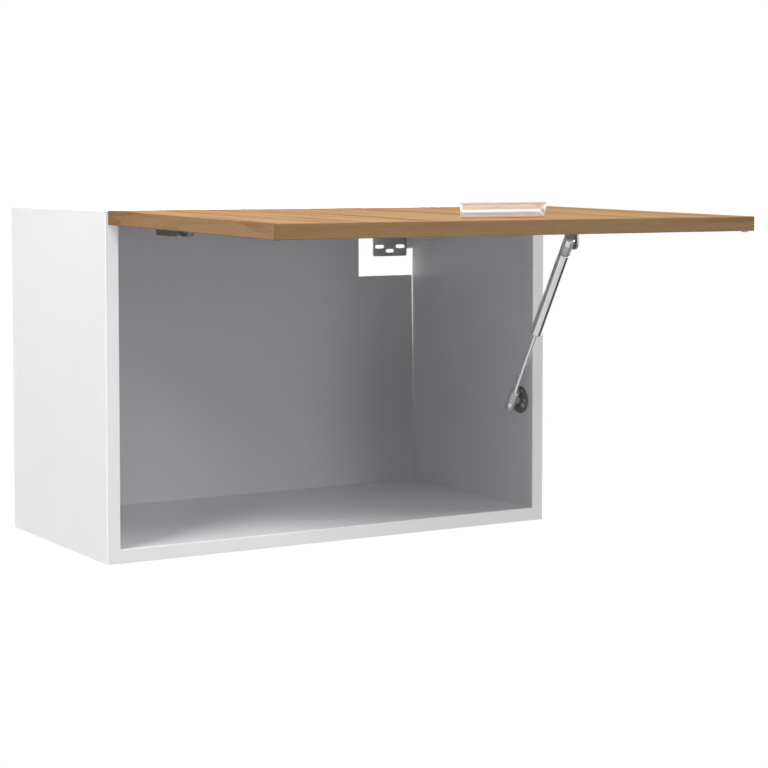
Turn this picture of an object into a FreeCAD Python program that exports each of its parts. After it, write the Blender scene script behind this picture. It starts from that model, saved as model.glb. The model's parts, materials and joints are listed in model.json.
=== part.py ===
import FreeCAD, Part
import Sketcher
import os
import re

# Kitchen wall cabinet with a lift-up flap, held open by one gas strut on the right.
# X runs across the width, Y into the wall and Z up. The origin lies on the wall, midway between the
# two wall plates, at the height of their lower slots. The flap is drawn open, as it rests.

OVERCUT = 1
TOLERANCE = 0.01
BASE_SCREWS = 3
PAIR_COUNT = 2
BOTTOM_NAILS = 6
TOP_NAILS = 4

SIZES = [
    # Carcass
    ("width", 600, "outer width of the carcass"),
    ("height", 400, "outer height of the carcass"),
    ("carcass_depth", 291.5, "front edge of the carcass to the wall"),
    ("board", 16, "thickness of the carcass boards"),
    ("band", 1, "thickness of the edge bands"),
    ("band_bevel", 0.7, "bevel on the outer corners of the edge bands"),
    ("back_board", 3, "thickness of the back panel"),
    ("rebate", 8, "rebates for the back panel, into the top and bottom panels"),
    ("back_play", 1, "back panel short of the end of its rebate"),
    ("back_side_gap", 3, "back panel short of each side panel"),
    ("notch_width", 88, "notch in the back panel, from the side panel inwards"),
    ("notch_height", 83, "notch in the back panel, from the top panel down"),
    ("fixing_drop", 65, "lower slots of the wall plates below the carcass top"),
    # Carcass fittings
    ("joint_inset", 50, "first and last cam bolt from the front and rear edges"),
    ("dowel_pitch", 32, "dowel from the cam bolt beside it"),
    ("dowel_radius", 4, "wooden dowel"),
    ("dowel_length", 30, "wooden dowel"),
    ("dowel_sink", 10, "dowel's length in the side panel"),
    ("dowel_bevel", 1, "bevel on the dowel's ends"),
    ("bolt_radius", 3, "cam bolt, shank and head"),
    ("bolt_neck_radius", 1.8, "cam bolt, neck behind the head"),
    ("bolt_neck_length", 4, "cam bolt, length of the head and of the neck"),
    ("bolt_thread_radius", 2.5, "cam bolt, thread in the side panel"),
    ("bolt_thread_length", 11, "cam bolt, thread in the side panel"),
    ("bolt_bore", 3.5, "radius of the cam bolt's bore in the end of a board"),
    ("cam_radius", 7.4, "cam lock"),
    ("cam_height", 12, "cam lock"),
    ("cam_inset", 24, "centre of the cam lock from the end of its board"),
    ("bolt_tip_gap", 1, "cam bolt's tip short of the middle of its cam lock"),
    ("cam_slot_width", 1.6, "screwdriver slot in the cam lock"),
    ("cam_slot_depth", 1.2, "screwdriver slot in the cam lock"),
    ("nail_radius", 0.8, "back nail"),
    ("nail_head_radius", 1.9, "back nail"),
    ("nail_head_height", 0.7, "back nail"),
    ("nail_length", 18, "back nail"),
    ("nail_inset", 25, "first and last back nail from the corner of their row"),
    ("hole_play", 0.05, "radial play of a fastener in its hole"),
    # Flap
    ("flap_board", 16, "thickness of the flap"),
    ("flap_gap", 2.5, "closed flap in front of the carcass"),
    ("side_reveal", 1.5, "flap short of the carcass side"),
    ("top_reveal", 0.5, "closed flap below the carcass top"),
    ("bottom_reveal", 1.5, "closed flap above the carcass underside"),
    ("open_angle", 89.2, "swing from closed to open, in degrees"),
    ("buffer_radius", 4, "closing buffer"),
    ("buffer_crown", 2.6, "closing buffer, radius of its crown"),
    ("buffer_rim", 1, "closing buffer, height of its straight rim"),
    ("buffer_inset", 8, "closing buffer from the flap's free edge"),
    ("stop_play", 0.2, "closing buffer short of the carcass edge"),
    # Hinges
    ("hinge_inset", 100, "middle of a hinge from the carcass side"),
    ("pin_depth", 8.5, "hinge pin below the flap's inner face"),
    ("pin_edge", 6.4, "hinge pin from the flap's hinge edge"),
    ("pin_radius", 1.2, "hinge pin"),
    ("pin_length", 16, "hinge pin"),
    ("run_play", 0.05, "radial play of a pin or rod that turns or slides"),
    ("cup_radius", 17.5, "bore of the hinge cup in the flap"),
    ("cup_edge", 2.6, "bore of the hinge cup from the flap's hinge edge"),
    ("cup_depth", 12.3, "bore of the hinge cup"),
    ("cup_wall", 0.6, "wall of the hinge cup"),
    ("cup_floor", 0.8, "floor of the hinge cup"),
    ("cheek_gap", 0.4, "hinge neck to the cheek of the cup"),
    ("cheek_wall", 2.5, "metal of the cheek around the hinge pin"),
    ("flange_thickness", 1.2, "flange of the hinge cup"),
    ("flange_length", 60, "flange of the hinge cup, along the hinge edge"),
    ("flange_width", 16, "ears of the cup flange"),
    ("cup_screw_pitch", 48, "screws of one hinge cup"),
    ("cup_screw_shift", 6, "cup screws behind the middle of the cup"),
    ("eye_wall", 1.2, "metal of the hinge eye around its pin"),
    ("neck_width", 8, "neck of the hinge arm, along the pin"),
    ("neck_thickness", 4, "neck of the hinge arm"),
    ("arm_drop", 14, "underside of the hinge arm below the top panel"),
    ("arm_start", 4, "hinge arm behind the carcass front"),
    ("arm_length", 58, "hinge arm"),
    ("arm_width", 19, "hinge arm"),
    ("arm_height", 9, "hinge arm"),
    ("arm_wall", 1.6, "sheet of the hinge arm"),
    ("arm_screw_pitch", 24, "adjusting screw to fixing screw of a hinge arm"),
    ("arm_screw_start", 16, "adjusting screw from the front of the hinge arm"),
    ("arm_screw_length", 8, "screw in the hinge arm"),
    ("saddle_play", 0.3, "mounting plate's saddle inside the hinge arm"),
    ("saddle_length", 46, "saddle of the mounting plate"),
    ("wing_length", 50, "wings of the mounting plate, across the arm"),
    ("wing_width", 13, "wings of the mounting plate"),
    ("wing_thickness", 2, "wings of the mounting plate"),
    ("plate_setback", 37, "mounting-plate screws behind the carcass front"),
    ("plate_screw_pitch", 32, "screws of one mounting plate"),
    # Screws
    ("screw_radius", 1.75, "wood screw"),
    ("screw_head_radius", 3.4, "wood screw"),
    ("screw_head_height", 1.7, "wood screw"),
    ("screw_grip", 11, "wood screw's length in its board"),
    ("head_bevel", 0.6, "bevel on a screw head"),
    ("recess_radius", 1.5, "driver recess in a screw head"),
    ("recess_depth", 1, "driver recess in a screw head"),
    # Gas strut
    ("strut_inset", 13, "middle plane of the strut from the right panel"),
    ("strut_setback", 27.5, "lower ball behind the carcass front"),
    ("strut_rise", 152, "lower ball above the carcass underside"),
    ("bracket_along", 88.5, "upper ball from the flap's hinge edge"),
    ("bracket_drop", 27, "upper ball below the flap's inner face"),
    ("base_radius", 17.3, "base plate on the right panel"),
    ("base_thickness", 3, "base plate"),
    ("base_bevel", 1.5, "bevelled rim of the base plate"),
    ("boss_radius", 6.5, "boss of the base plate round the stud"),
    ("boss_height", 1.4, "boss of the base plate"),
    ("base_screw_circle", 11.8, "screws of the base plate from its middle"),
    ("ball_radius", 4.5, "ball of a stud"),
    ("ball_play", 0.25, "radial play of a ball in its socket"),
    ("stud_radius", 2.8, "shank of a stud"),
    ("stud_play", 0.6, "shank of a stud in the mouth of its socket"),
    ("socket_bevel", 1, "bevelled ends of a ball socket"),
    ("lower_socket_radius", 6.5, "lower ball socket"),
    ("lower_socket_reach", 13.4, "lower ball to the end of its socket on the rod"),
    ("lower_socket_tail", 13, "lower ball to the free end of its socket"),
    ("rod_seat", 7.5, "lower ball to the end of the rod in its socket"),
    ("rod_radius", 3, "piston rod"),
    ("piston_length", 7, "piston"),
    ("piston_gap", 1, "piston above the rod guide when the strut is out"),
    ("piston_play", 0.2, "radial play of the piston in the tube"),
    ("tube_radius", 7.5, "strut tube"),
    ("tube_wall", 1, "strut tube"),
    ("tube_length", 117.5, "strut tube"),
    ("guide_length", 8, "rod guide in the tube's mouth"),
    ("guide_lip", 1.2, "rod guide's lip outside the tube"),
    ("guide_lip_inset", 0.8, "rod guide's lip inside the tube's outline"),
    ("upper_socket_radius", 7.1, "upper ball socket"),
    ("upper_socket_reach", 16, "end of the tube to the upper ball"),
    ("upper_socket_tail", 7.5, "upper ball to the free end of its socket"),
    ("plug_length", 7, "upper socket's plug in the tube"),
    ("collar_height", 1.2, "upper socket's collar on the tube"),
    ("collar_radius", 6.9, "upper socket's collar on the tube"),
    ("leg_offset", 8, "bracket leg from the middle of the strut"),
    ("leg_thickness", 2.5, "bracket leg"),
    ("leg_radius", 8, "rounded end of the bracket leg"),
    ("stub_gap", 0.3, "end of the upper stud from the bracket leg"),
    ("rivet_radius", 3.6, "riveted end of the upper stud's seat"),
    ("rivet_height", 0.9, "riveted end of the upper stud's seat"),
    ("foot_width", 20, "bracket foot, beside the leg"),
    ("foot_length", 40, "bracket foot, along the flap"),
    ("foot_thickness", 2, "bracket foot"),
    ("bracket_screw_pitch", 26, "screws of the bracket"),
    # Handle
    ("handle_edge", 51, "mouth of the handle from the flap's free edge"),
    ("handle_length", 106, "handle, where it meets the flap"),
    ("handle_flare", 1.75, "handle's end, wider at the lip"),
    ("handle_taper", 11, "handle's end, narrower at the back"),
    ("handle_wall", 5, "end wall of the finger scoop"),
    ("handle_height", 16.5, "handle off the flap"),
    ("handle_lip", 4, "flat top of the handle behind its mouth"),
    ("lip_thickness", 1.5, "top wall of the finger scoop"),
    ("sole_thickness", 1.8, "bottom wall of the finger scoop"),
    ("scoop_straight", 5, "straight part of the finger scoop"),
    ("handle_screw_pitch", 64, "screws of the handle"),
    ("handle_screw_set", 15.6, "handle screws behind the mouth"),
    ("handle_screw_radius", 2, "handle screw"),
    ("handle_screw_grip", 7.5, "handle screw's length in the handle"),
    ("handle_screw_head_radius", 4, "handle screw"),
    ("handle_screw_head_height", 2.2, "handle screw"),
    # Hangers and wall plates
    ("plate_gap", 0.25, "wall plate beside the hanger housing"),
    ("plate_width", 53.5, "wall plate"),
    ("plate_thickness", 2, "wall plate"),
    ("plate_foot", 7.4, "wall plate below its lower slot"),
    ("plate_corner", 3, "rounded lower corners of the wall plate"),
    ("slot_width", 4.8, "slots of the wall plate"),
    ("upper_slot_length", 14.6, "upper slots of the wall plate"),
    ("upper_slot_pitch", 33, "upper slots of the wall plate"),
    ("upper_slot_rise", 5.9, "upper slots above the lower slot"),
    ("lower_slot_length", 13, "lower slot of the wall plate"),
    ("joggle_start", 17, "foot of the wall plate's bend above its lower slot"),
    ("joggle_rise", 6, "height of the wall plate's bend"),
    ("joggle_depth", 4.8, "wall plate's lip off the wall"),
    ("lip_top", 37, "top of the wall plate's lip above the lower slot"),
    ("housing_thickness", 10.5, "hanger housing, off the side panel"),
    ("housing_start", 0.5, "hanger housing off the wall"),
    ("housing_length", 71, "hanger housing, along the side panel"),
    ("housing_rear_drop", 46.5, "hanger housing below the top panel, at the wall"),
    ("housing_front_drop", 31, "hanger housing below the top panel, at its front"),
    ("peg_radius", 5, "pegs of the hanger housing in the side panel"),
    ("peg_length", 10, "pegs of the hanger housing"),
    ("peg_pitch", 32, "pegs of the hanger housing"),
    ("peg_inset", 19, "first peg from the housing's rear"),
    ("peg_drop", 13, "pegs below the top panel"),
    ("hook_thickness", 2.5, "steel of the hook"),
    ("hook_inset", 2, "hook's blade inside the housing"),
    ("hook_play", 0.3, "hook in its slot"),
    ("hook_reach", 40, "hook's blade in the housing"),
    ("hook_height", 9, "hook's blade below the lip's top"),
    ("claw_width", 22, "hook's claw along the lip"),
    ("claw_drop", 11, "hook's claw behind the lip"),
    ("claw_gap", 0.8, "hook's claw from the lip and from the wall"),
    ("adjuster_radius", 2.5, "hanger's adjusting screw"),
    ("adjuster_head_radius", 3.2, "hanger's adjusting screw"),
    ("adjuster_head_height", 1.6, "hanger's adjusting screw"),
    ("adjuster_length", 16, "hanger's adjusting screw"),
    ("adjuster_pitch", 10, "the two adjusting screws of a hanger"),
    ("adjuster_drop", 18, "lower adjusting screw below the top panel"),
]

# Places that follow from the sizes. The flap is described in a frame on its hinge pin, as it hangs
# closed, and the strut in a frame on its lower ball, with Z along the rod.
PLACES = [
    ("half_width", "width / 2"),
    ("inner_half", "half_width - board"),
    ("front", "-carcass_depth"),
    ("top_face", "fixing_drop"),
    ("underside", "top_face - height"),
    ("top_panel_low", "top_face - board"),
    ("bottom_panel_high", "underside + board"),
    ("notch_low", "top_panel_low - notch_height"),
    ("notch_side", "inner_half - notch_width"),
    ("back_half", "inner_half - back_side_gap"),
    ("bolt_tip", "inner_half - cam_inset + bolt_tip_gap"),
    ("flap_half", "half_width - side_reveal"),
    ("flap_length", "height - top_reveal - bottom_reveal"),
    ("flap_outer", "pin_depth - flap_board"),
    ("flap_free", "pin_edge - flap_length"),
    ("pin_y", "front - flap_gap - pin_depth"),
    ("pin_z", "top_face - top_reveal - pin_edge"),
    ("hinge_x", "half_width - hinge_inset"),
    ("cup_z", "pin_edge - cup_edge - cup_radius"),
    ("eye_radius", "pin_radius + run_play + eye_wall"),
    ("arm_low", "top_panel_low - arm_drop"),
    ("arm_front", "front + arm_start"),
    ("saddle_half", "arm_width / 2 - arm_wall - saddle_play"),
    ("strut_x", "inner_half - strut_inset"),
    ("strut_y", "front + strut_setback"),
    ("strut_z", "underside + strut_rise"),
    ("bracket_y", "pin_depth + bracket_drop"),
    ("bracket_z", "pin_edge - bracket_along"),
    ("reach_y", "pin_y + bracket_y * cos(open_angle) + bracket_z * sin(open_angle) - strut_y"),
    ("reach_z", "pin_z - bracket_y * sin(open_angle) + bracket_z * cos(open_angle) - strut_z"),
    ("strut_length", "sqrt(reach_y ^ 2 + reach_z ^ 2)"),
    ("strut_lean", "atan2(-reach_y; reach_z)"),
    ("tube_end", "strut_length - upper_socket_reach"),
    ("tube_start", "tube_end - tube_length"),
    ("tube_bore", "tube_radius - tube_wall"),
    ("piston_low", "tube_start + guide_length + piston_gap"),
    ("piston_high", "piston_low + piston_length"),
    ("leg_x", "strut_x + leg_offset"),
    ("handle_mouth", "flap_free + handle_edge"),
    ("handle_top", "flap_outer - handle_height"),
    ("scoop_radius", "(handle_height - lip_thickness - sole_thickness) / 2"),
    ("lip_front", "-joggle_depth - plate_thickness"),
    ("housing_front", "-housing_start - housing_length"),
    ("housing_side", "inner_half - housing_thickness"),
    ("plate_x", "housing_side - plate_gap - plate_width / 2"),
    ("hook_side", "housing_side + hook_inset"),
    ("bridge_front", "lip_front - hook_thickness"),
]

doc = FreeCAD.newDocument("WallCabinet")
nodes = {}
owner = {}


def expand(formula):
    """Put the sheet's name before each named value of a formula."""
    return re.sub(r"[a-z][a-z_0-9]*", lambda hit: owner.get(hit.group(), "") + hit.group(), str(formula))


def fill_sheet(name, rows):
    """Make a spreadsheet with one aliased cell and one note for each row."""
    sheet = doc.addObject("Spreadsheet::Sheet", name)
    for number, (alias, content, note) in enumerate(rows, start=1):
        sheet.set(f"A{number}", note)
        owner[alias] = name + "."
        sheet.set(f"B{number}", content)
        sheet.setAlias(f"B{number}", alias)
    doc.recompute()
    return sheet


size = fill_sheet("size", [(alias, str(value), note) for alias, value, note in SIZES])
owner.update({alias: "place." for alias, formula in PLACES})
fill_sheet("place", [(alias, "=" + expand(formula), alias) for alias, formula in PLACES])


def value(formula):
    """Work out a formula as a plain number."""
    return float(size.evalExpression(expand(formula)))


def place(item, frame, x, y, z, turns=True):
    """Put an object at a point of the carcass, flap or strut frame, and turn it with that frame."""
    if frame == "carcass":
        base = (x, y, z)
    elif frame == "flap":
        base = (
            x,
            f"pin_y + ({y}) * cos(open_angle) + ({z}) * sin(open_angle)",
            f"pin_z - ({y}) * sin(open_angle) + ({z}) * cos(open_angle)",
        )
    else:
        base = (
            f"strut_x + ({x})",
            f"strut_y + ({y}) * cos(strut_lean) - ({z}) * sin(strut_lean)",
            f"strut_z + ({y}) * sin(strut_lean) + ({z}) * cos(strut_lean)",
        )
    for letter, formula in zip("xyz", base):
        item.setExpression("Placement.Base." + letter, expand(formula))
    turn = {"flap": "-open_angle", "strut": "strut_lean"}.get(frame)
    if turn and turns:
        item.Placement.Rotation = FreeCAD.Rotation(FreeCAD.Vector(1, 0, 0), value(turn))
        item.setExpression("Placement.Rotation.Angle", expand(turn))


def bind(item, **formulas):
    """Tie properties of an object to formulas."""
    for name, formula in formulas.items():
        item.setExpression(name, expand(formula))


def block(name, frame, low, extent):
    """Make a box from its low corner and its extent along X, Y and Z."""
    item = doc.addObject("Part::Box", name)
    bind(item, Length=extent[0], Width=extent[1], Height=extent[2])
    place(item, frame, *low)
    return item


def ball(name, frame, centre, radius):
    """Make a sphere with its poles along X, as the studs run."""
    item = doc.addObject("Part::Sphere", name)
    item.Placement.Rotation = FreeCAD.Rotation(FreeCAD.Vector(0, 1, 0), 90)
    bind(item, Radius=radius)
    place(item, frame, *centre, turns=False)
    return item


def origin_item(body, role):
    """Find a plane or an axis of a body's own origin."""
    return next(item for item in body.Origin.OriginFeatures if item.Role == role)


def outline(body, plane, corners):
    """Draw a closed outline of straight edges, with each corner tied to its two formulas."""
    sketch = body.newObject("Sketcher::SketchObject", body.Name + "_outline")
    sketch.AttachmentSupport = [(origin_item(body, plane), "")]
    sketch.MapMode = "FlatFace"
    points = [FreeCAD.Vector(value(across), value(up), 0) for across, up in corners]
    count = len(points)
    for index in range(count):
        sketch.addGeometry(Part.LineSegment(points[index], points[(index + 1) % count]), False)
    for index in range(count):
        sketch.addConstraint(Sketcher.Constraint("Coincident", index, 2, (index + 1) % count, 1))
    for index, corner in enumerate(corners):
        for kind, formula, start in zip(("DistanceX", "DistanceY"), corner, points[index]):
            number = sketch.addConstraint(Sketcher.Constraint(kind, -1, 1, index, 1, start))
            sketch.setExpression(f"Constraints[{number}]", expand(formula))
    return sketch


def repeat(body, feature, copies, mirror):
    """Repeat a feature along axes, as (axis, count, length) rows, and across the YZ plane."""
    if not copies and not mirror:
        return
    pattern = body.newObject("PartDesign::MultiTransform", body.Name + "_pattern")
    pattern.Originals = [feature]
    steps = []
    if mirror:
        step = body.newObject("PartDesign::Mirrored", body.Name + "_mirror")
        step.MirrorPlane = (origin_item(body, "YZ_Plane"), [""])
        steps.append(step)
    for axis, count, length in copies:
        step = body.newObject("PartDesign::LinearPattern", body.Name + "_row")
        step.Direction = (origin_item(body, axis + "_Axis"), [""])
        bind(step, Length=length)
        step.Occurrences = count
        steps.append(step)
    pattern.Transformations = steps
    body.Tip = pattern


def padded(name, frame, plane, at, corners, thickness, copies=(), mirror=False):
    """Make a straight-sided piece: an outline on a plane, padded by a thickness."""
    body = doc.addObject("PartDesign::Body", name)
    sketch = outline(body, plane, corners)
    pad = body.newObject("PartDesign::Pad", name + "_pad")
    pad.Profile = sketch
    bind(pad, Length=thickness)
    repeat(body, pad, copies, mirror)
    place(body, frame, *at)
    return body


def turned(name, frame, axis, at, profile, copies=(), mirror=False, grow=None):
    """Make a turned piece: (along, radius) corners, revolved about an axis through a point."""
    body = doc.addObject("PartDesign::Body", name)
    if grow:
        profile = [(along, f"{radius} + {grow}" if radius != "0" else radius) for along, radius in profile]
    if axis == "X":
        sketch = outline(body, "XZ_Plane", profile)
    else:
        plane = "XY_Plane" if axis == "Y" else "XZ_Plane"
        sketch = outline(body, plane, [(radius, along) for along, radius in profile])
    spin = body.newObject("PartDesign::Revolution", name + "_spin")
    spin.Profile = sketch
    spin.ReferenceAxis = (sketch, ["H_Axis" if axis == "X" else "V_Axis"])
    spin.Angle = 360
    repeat(body, spin, copies, mirror)
    place(body, frame, *at)
    return body


def drum(low, high, radius):
    """Profile of a plain cylinder."""
    return [(low, "0"), (low, radius), (high, radius), (high, "0")]


def ring(low, high, inner, outer):
    """Profile of a plain ring."""
    return [(low, inner), (low, outer), (high, outer), (high, inner)]


def screw_profile(seat, head_way, grip, radius, head_radius, head_height):
    """Profile of a round-headed screw with a driver recess; its head is on the head_way side."""
    top = f"{seat} + {head_way} * {head_height}"
    return [
        (f"{top} - {head_way} * recess_depth", "0"),
        (top, "recess_radius"),
        (top, f"{head_radius} - head_bevel"),
        (f"{top} - {head_way} * head_bevel", head_radius),
        (seat, head_radius),
        (seat, radius),
        (f"{seat} - {head_way} * ({grip})", radius),
        (f"{seat} - {head_way} * ({grip})", "0"),
    ]


def shank_profile(seat, head_way, grip, radius):
    """Profile of the hole for a screw's shank."""
    end = f"{seat} - {head_way} * ({grip})"
    return [(end, "0"), (end, radius + " + hole_play"), (seat, radius + " + hole_play"), (seat, "0")]


def cut(name, base, *tools):
    """Cut tools out of a piece, one after the other."""
    for number, tool in enumerate(tools, start=1):
        item = doc.addObject("Part::Cut", f"{name}_cut{number}")
        item.Base = base
        item.Tool = tool
        base = item
    return base


def fuse(name, *pieces):
    """Join solids into one."""
    item = doc.addObject("Part::MultiFuse", name + "_fused")
    item.Shapes = list(pieces)
    return item


def common(name, first, second):
    """Keep what two solids share."""
    item = doc.addObject("Part::Common", name + "_shared")
    item.Base = first
    item.Tool = second
    return item


def group(name, *pieces):
    """Hold separate solids together as one sub-part."""
    item = doc.addObject("Part::Compound", name + "_group")
    item.Links = list(pieces)
    return item


def node(name, item):
    """Give a finished sub-part its name."""
    item.Label = name
    nodes[name] = item


# Carcass fittings: dowels, cam bolts and cam locks join the top and bottom panels to the sides
joint_y = "front + joint_inset"
joint_z = "underside + board / 2"
joint_rows = [("Y", PAIR_COUNT, "carcass_depth - 2 * joint_inset"), ("Z", PAIR_COUNT, "height - board")]
dowel_rows = [("Y", PAIR_COUNT, "carcass_depth - 2 * (joint_inset + dowel_pitch)"),
              ("Z", PAIR_COUNT, "height - board")]
dowel_low = "inner_half + dowel_sink - dowel_length"
dowel_high = "inner_half + dowel_sink"
dowel_profile = [
    (dowel_low, "0"),
    (dowel_low, "dowel_radius - dowel_bevel"),
    (dowel_low + " + dowel_bevel", "dowel_radius"),
    (dowel_high + " - dowel_bevel", "dowel_radius"),
    (dowel_high, "dowel_radius - dowel_bevel"),
    (dowel_high, "0"),
]
dowel_at = ("0", joint_y + " + dowel_pitch", joint_z)
dowels = turned("dowels", "carcass", "X", dowel_at, dowel_profile, dowel_rows, True)
dowel_holes = turned("dowel_holes", "carcass", "X", dowel_at, drum(dowel_low, dowel_high, "dowel_radius"),
                     dowel_rows, True, "hole_play")
node("wooden_dowels", dowels)

bolt_at = ("0", joint_y, joint_z)
bolt_end = "inner_half + bolt_thread_length"
bolts = turned("bolts", "carcass", "X", bolt_at, [
    ("bolt_tip", "0"),
    ("bolt_tip", "bolt_radius"),
    ("bolt_tip + bolt_neck_length", "bolt_radius"),
    ("bolt_tip + bolt_neck_length", "bolt_neck_radius"),
    ("bolt_tip + 2 * bolt_neck_length", "bolt_neck_radius"),
    ("bolt_tip + 2 * bolt_neck_length", "bolt_radius"),
    ("inner_half", "bolt_radius"),
    ("inner_half", "bolt_thread_radius"),
    (bolt_end, "bolt_thread_radius"),
    (bolt_end, "0"),
], joint_rows, True)
thread_holes = turned("thread_holes", "carcass", "X", bolt_at,
                      drum("inner_half", bolt_end, "bolt_thread_radius"), joint_rows, True, "hole_play")
bolt_bores = turned("bolt_bores", "carcass", "X", bolt_at,
                    drum("bolt_tip - hole_play", "inner_half", "bolt_bore"), joint_rows, True)
node("cam_bolts", bolts)

cam_at = ("cam_inset - inner_half", joint_y, "underside")
cam_rows = [("X", PAIR_COUNT, "2 * (inner_half - cam_inset)"),
            ("Y", PAIR_COUNT, "carcass_depth - 2 * joint_inset"),
            ("Z", PAIR_COUNT, "height - cam_height")]
cams = turned("cams", "carcass", "Z", cam_at, drum("0", "cam_height", "cam_radius"), cam_rows)
cam_holes = turned("cam_holes", "carcass", "Z", cam_at, drum("0", "cam_height", "cam_radius"), cam_rows,
                   grow="hole_play")
slot_half = "cam_slot_width / 2"
cam_slots = padded("cam_slots", "carcass", "XY_Plane", cam_at, [
    ("-" + slot_half, "-cam_radius"),
    (slot_half, "-cam_radius"),
    (slot_half, "cam_radius"),
    ("-" + slot_half, "cam_radius"),
], "cam_slot_depth", cam_rows[:2] + [("Z", PAIR_COUNT, "height - cam_slot_depth")])
node("cam_locks", cut("cam_locks", cams, bolt_bores, cam_slots))

# Back panel and its nails, flush with the wall
back_sheet = padded("back_board_sheet", "carcass", "XZ_Plane", ("0", "0", "0"), [
    ("-back_half", "bottom_panel_high - rebate + back_play"),
    ("back_half", "bottom_panel_high - rebate + back_play"),
    ("back_half", "notch_low"),
    ("notch_side", "notch_low"),
    ("notch_side", "top_panel_low + rebate - back_play"),
    ("-notch_side", "top_panel_low + rebate - back_play"),
    ("-notch_side", "notch_low"),
    ("-back_half", "notch_low"),
], "back_board")
nail_profile = [
    ("0", "0"),
    ("0", "nail_head_radius"),
    ("-nail_head_height", "nail_radius"),
    ("-nail_length", "nail_radius"),
    ("-nail_length", "0"),
]
nail_runs = {
    "bottom": (("nail_inset - inner_half", "0", "bottom_panel_high - rebate / 2"),
               [("X", BOTTOM_NAILS, "2 * (inner_half - nail_inset)")]),
    "top": (("nail_inset - notch_side", "0", "top_panel_low + rebate / 2"),
            [("X", TOP_NAILS, "2 * (notch_side - nail_inset)")]),
}
nails = [turned(f"{run}_nails", "carcass", "Y", at, nail_profile, rows)
         for run, (at, rows) in nail_runs.items()]
nail_holes = {run: turned(f"{run}_nail_holes", "carcass", "Y", at, nail_profile, rows, grow="hole_play")
              for run, (at, rows) in nail_runs.items()}
node("back_panel", cut("back_panel", back_sheet, *nail_holes.values()))
node("back_nails", group("back_nails", *nails))

# Hanger housings, pegged into the side panels, with their hooks over the lips of the wall plates
adjuster_profile = screw_profile("0", -1, "adjuster_length", "adjuster_radius", "adjuster_head_radius",
                                 "adjuster_head_height")
adjuster_at = ("-(housing_side + inner_half) / 2", "housing_front", "top_panel_low - adjuster_drop")
adjuster_rows = [("X", PAIR_COUNT, "housing_side + inner_half"), ("Z", PAIR_COUNT, "adjuster_pitch")]
adjusters = turned("adjusters", "carcass", "Y", adjuster_at, adjuster_profile, adjuster_rows)
adjuster_holes = turned("adjuster_holes", "carcass", "Y", adjuster_at,
                        shank_profile("0", -1, "adjuster_length", "adjuster_radius"), adjuster_rows)
node("hanger_adjusting_screws", adjusters)
peg_at = ("0", "-housing_start - peg_inset - peg_pitch", "top_panel_low - peg_drop")
peg_rows = [("Y", PAIR_COUNT, "peg_pitch")]
peg_holes = turned("peg_holes", "carcass", "X", peg_at,
                   drum("inner_half", "inner_half + peg_length", "peg_radius"), peg_rows, True, "hole_play")
housing_outline = [
    ("-housing_start", "top_panel_low"),
    ("housing_front", "top_panel_low"),
    ("housing_front", "top_panel_low - housing_front_drop"),
    ("-housing_start", "top_panel_low - housing_rear_drop"),
]


def slot_tools(name, x, z, length):
    """Tools for one slot of a wall plate, with round ends."""
    straight = f"{length} - slot_width"
    low = (f"{x} - ({straight}) / 2", f"-plate_thickness - {OVERCUT}", f"{z} - slot_width / 2")
    deep = f"plate_thickness + {2 * OVERCUT}"
    ends = turned(name + "_ends", "carcass", "Y", (low[0], low[1], z), drum("0", deep, "slot_width / 2"),
                  [("X", PAIR_COUNT, straight)])
    return [block(name, "carcass", low, (straight, deep, "slot_width")), ends]


def rounded(name, base, radius, wanted):
    """Round the edges of a piece that a test picks."""
    doc.recompute()
    item = doc.addObject("Part::Fillet", name)
    item.Base = base
    reach = value(radius)
    edges = enumerate(base.Shape.Edges, start=1)
    item.Edges = [(number, reach, reach) for number, edge in edges if wanted(edge)]
    return item


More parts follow.
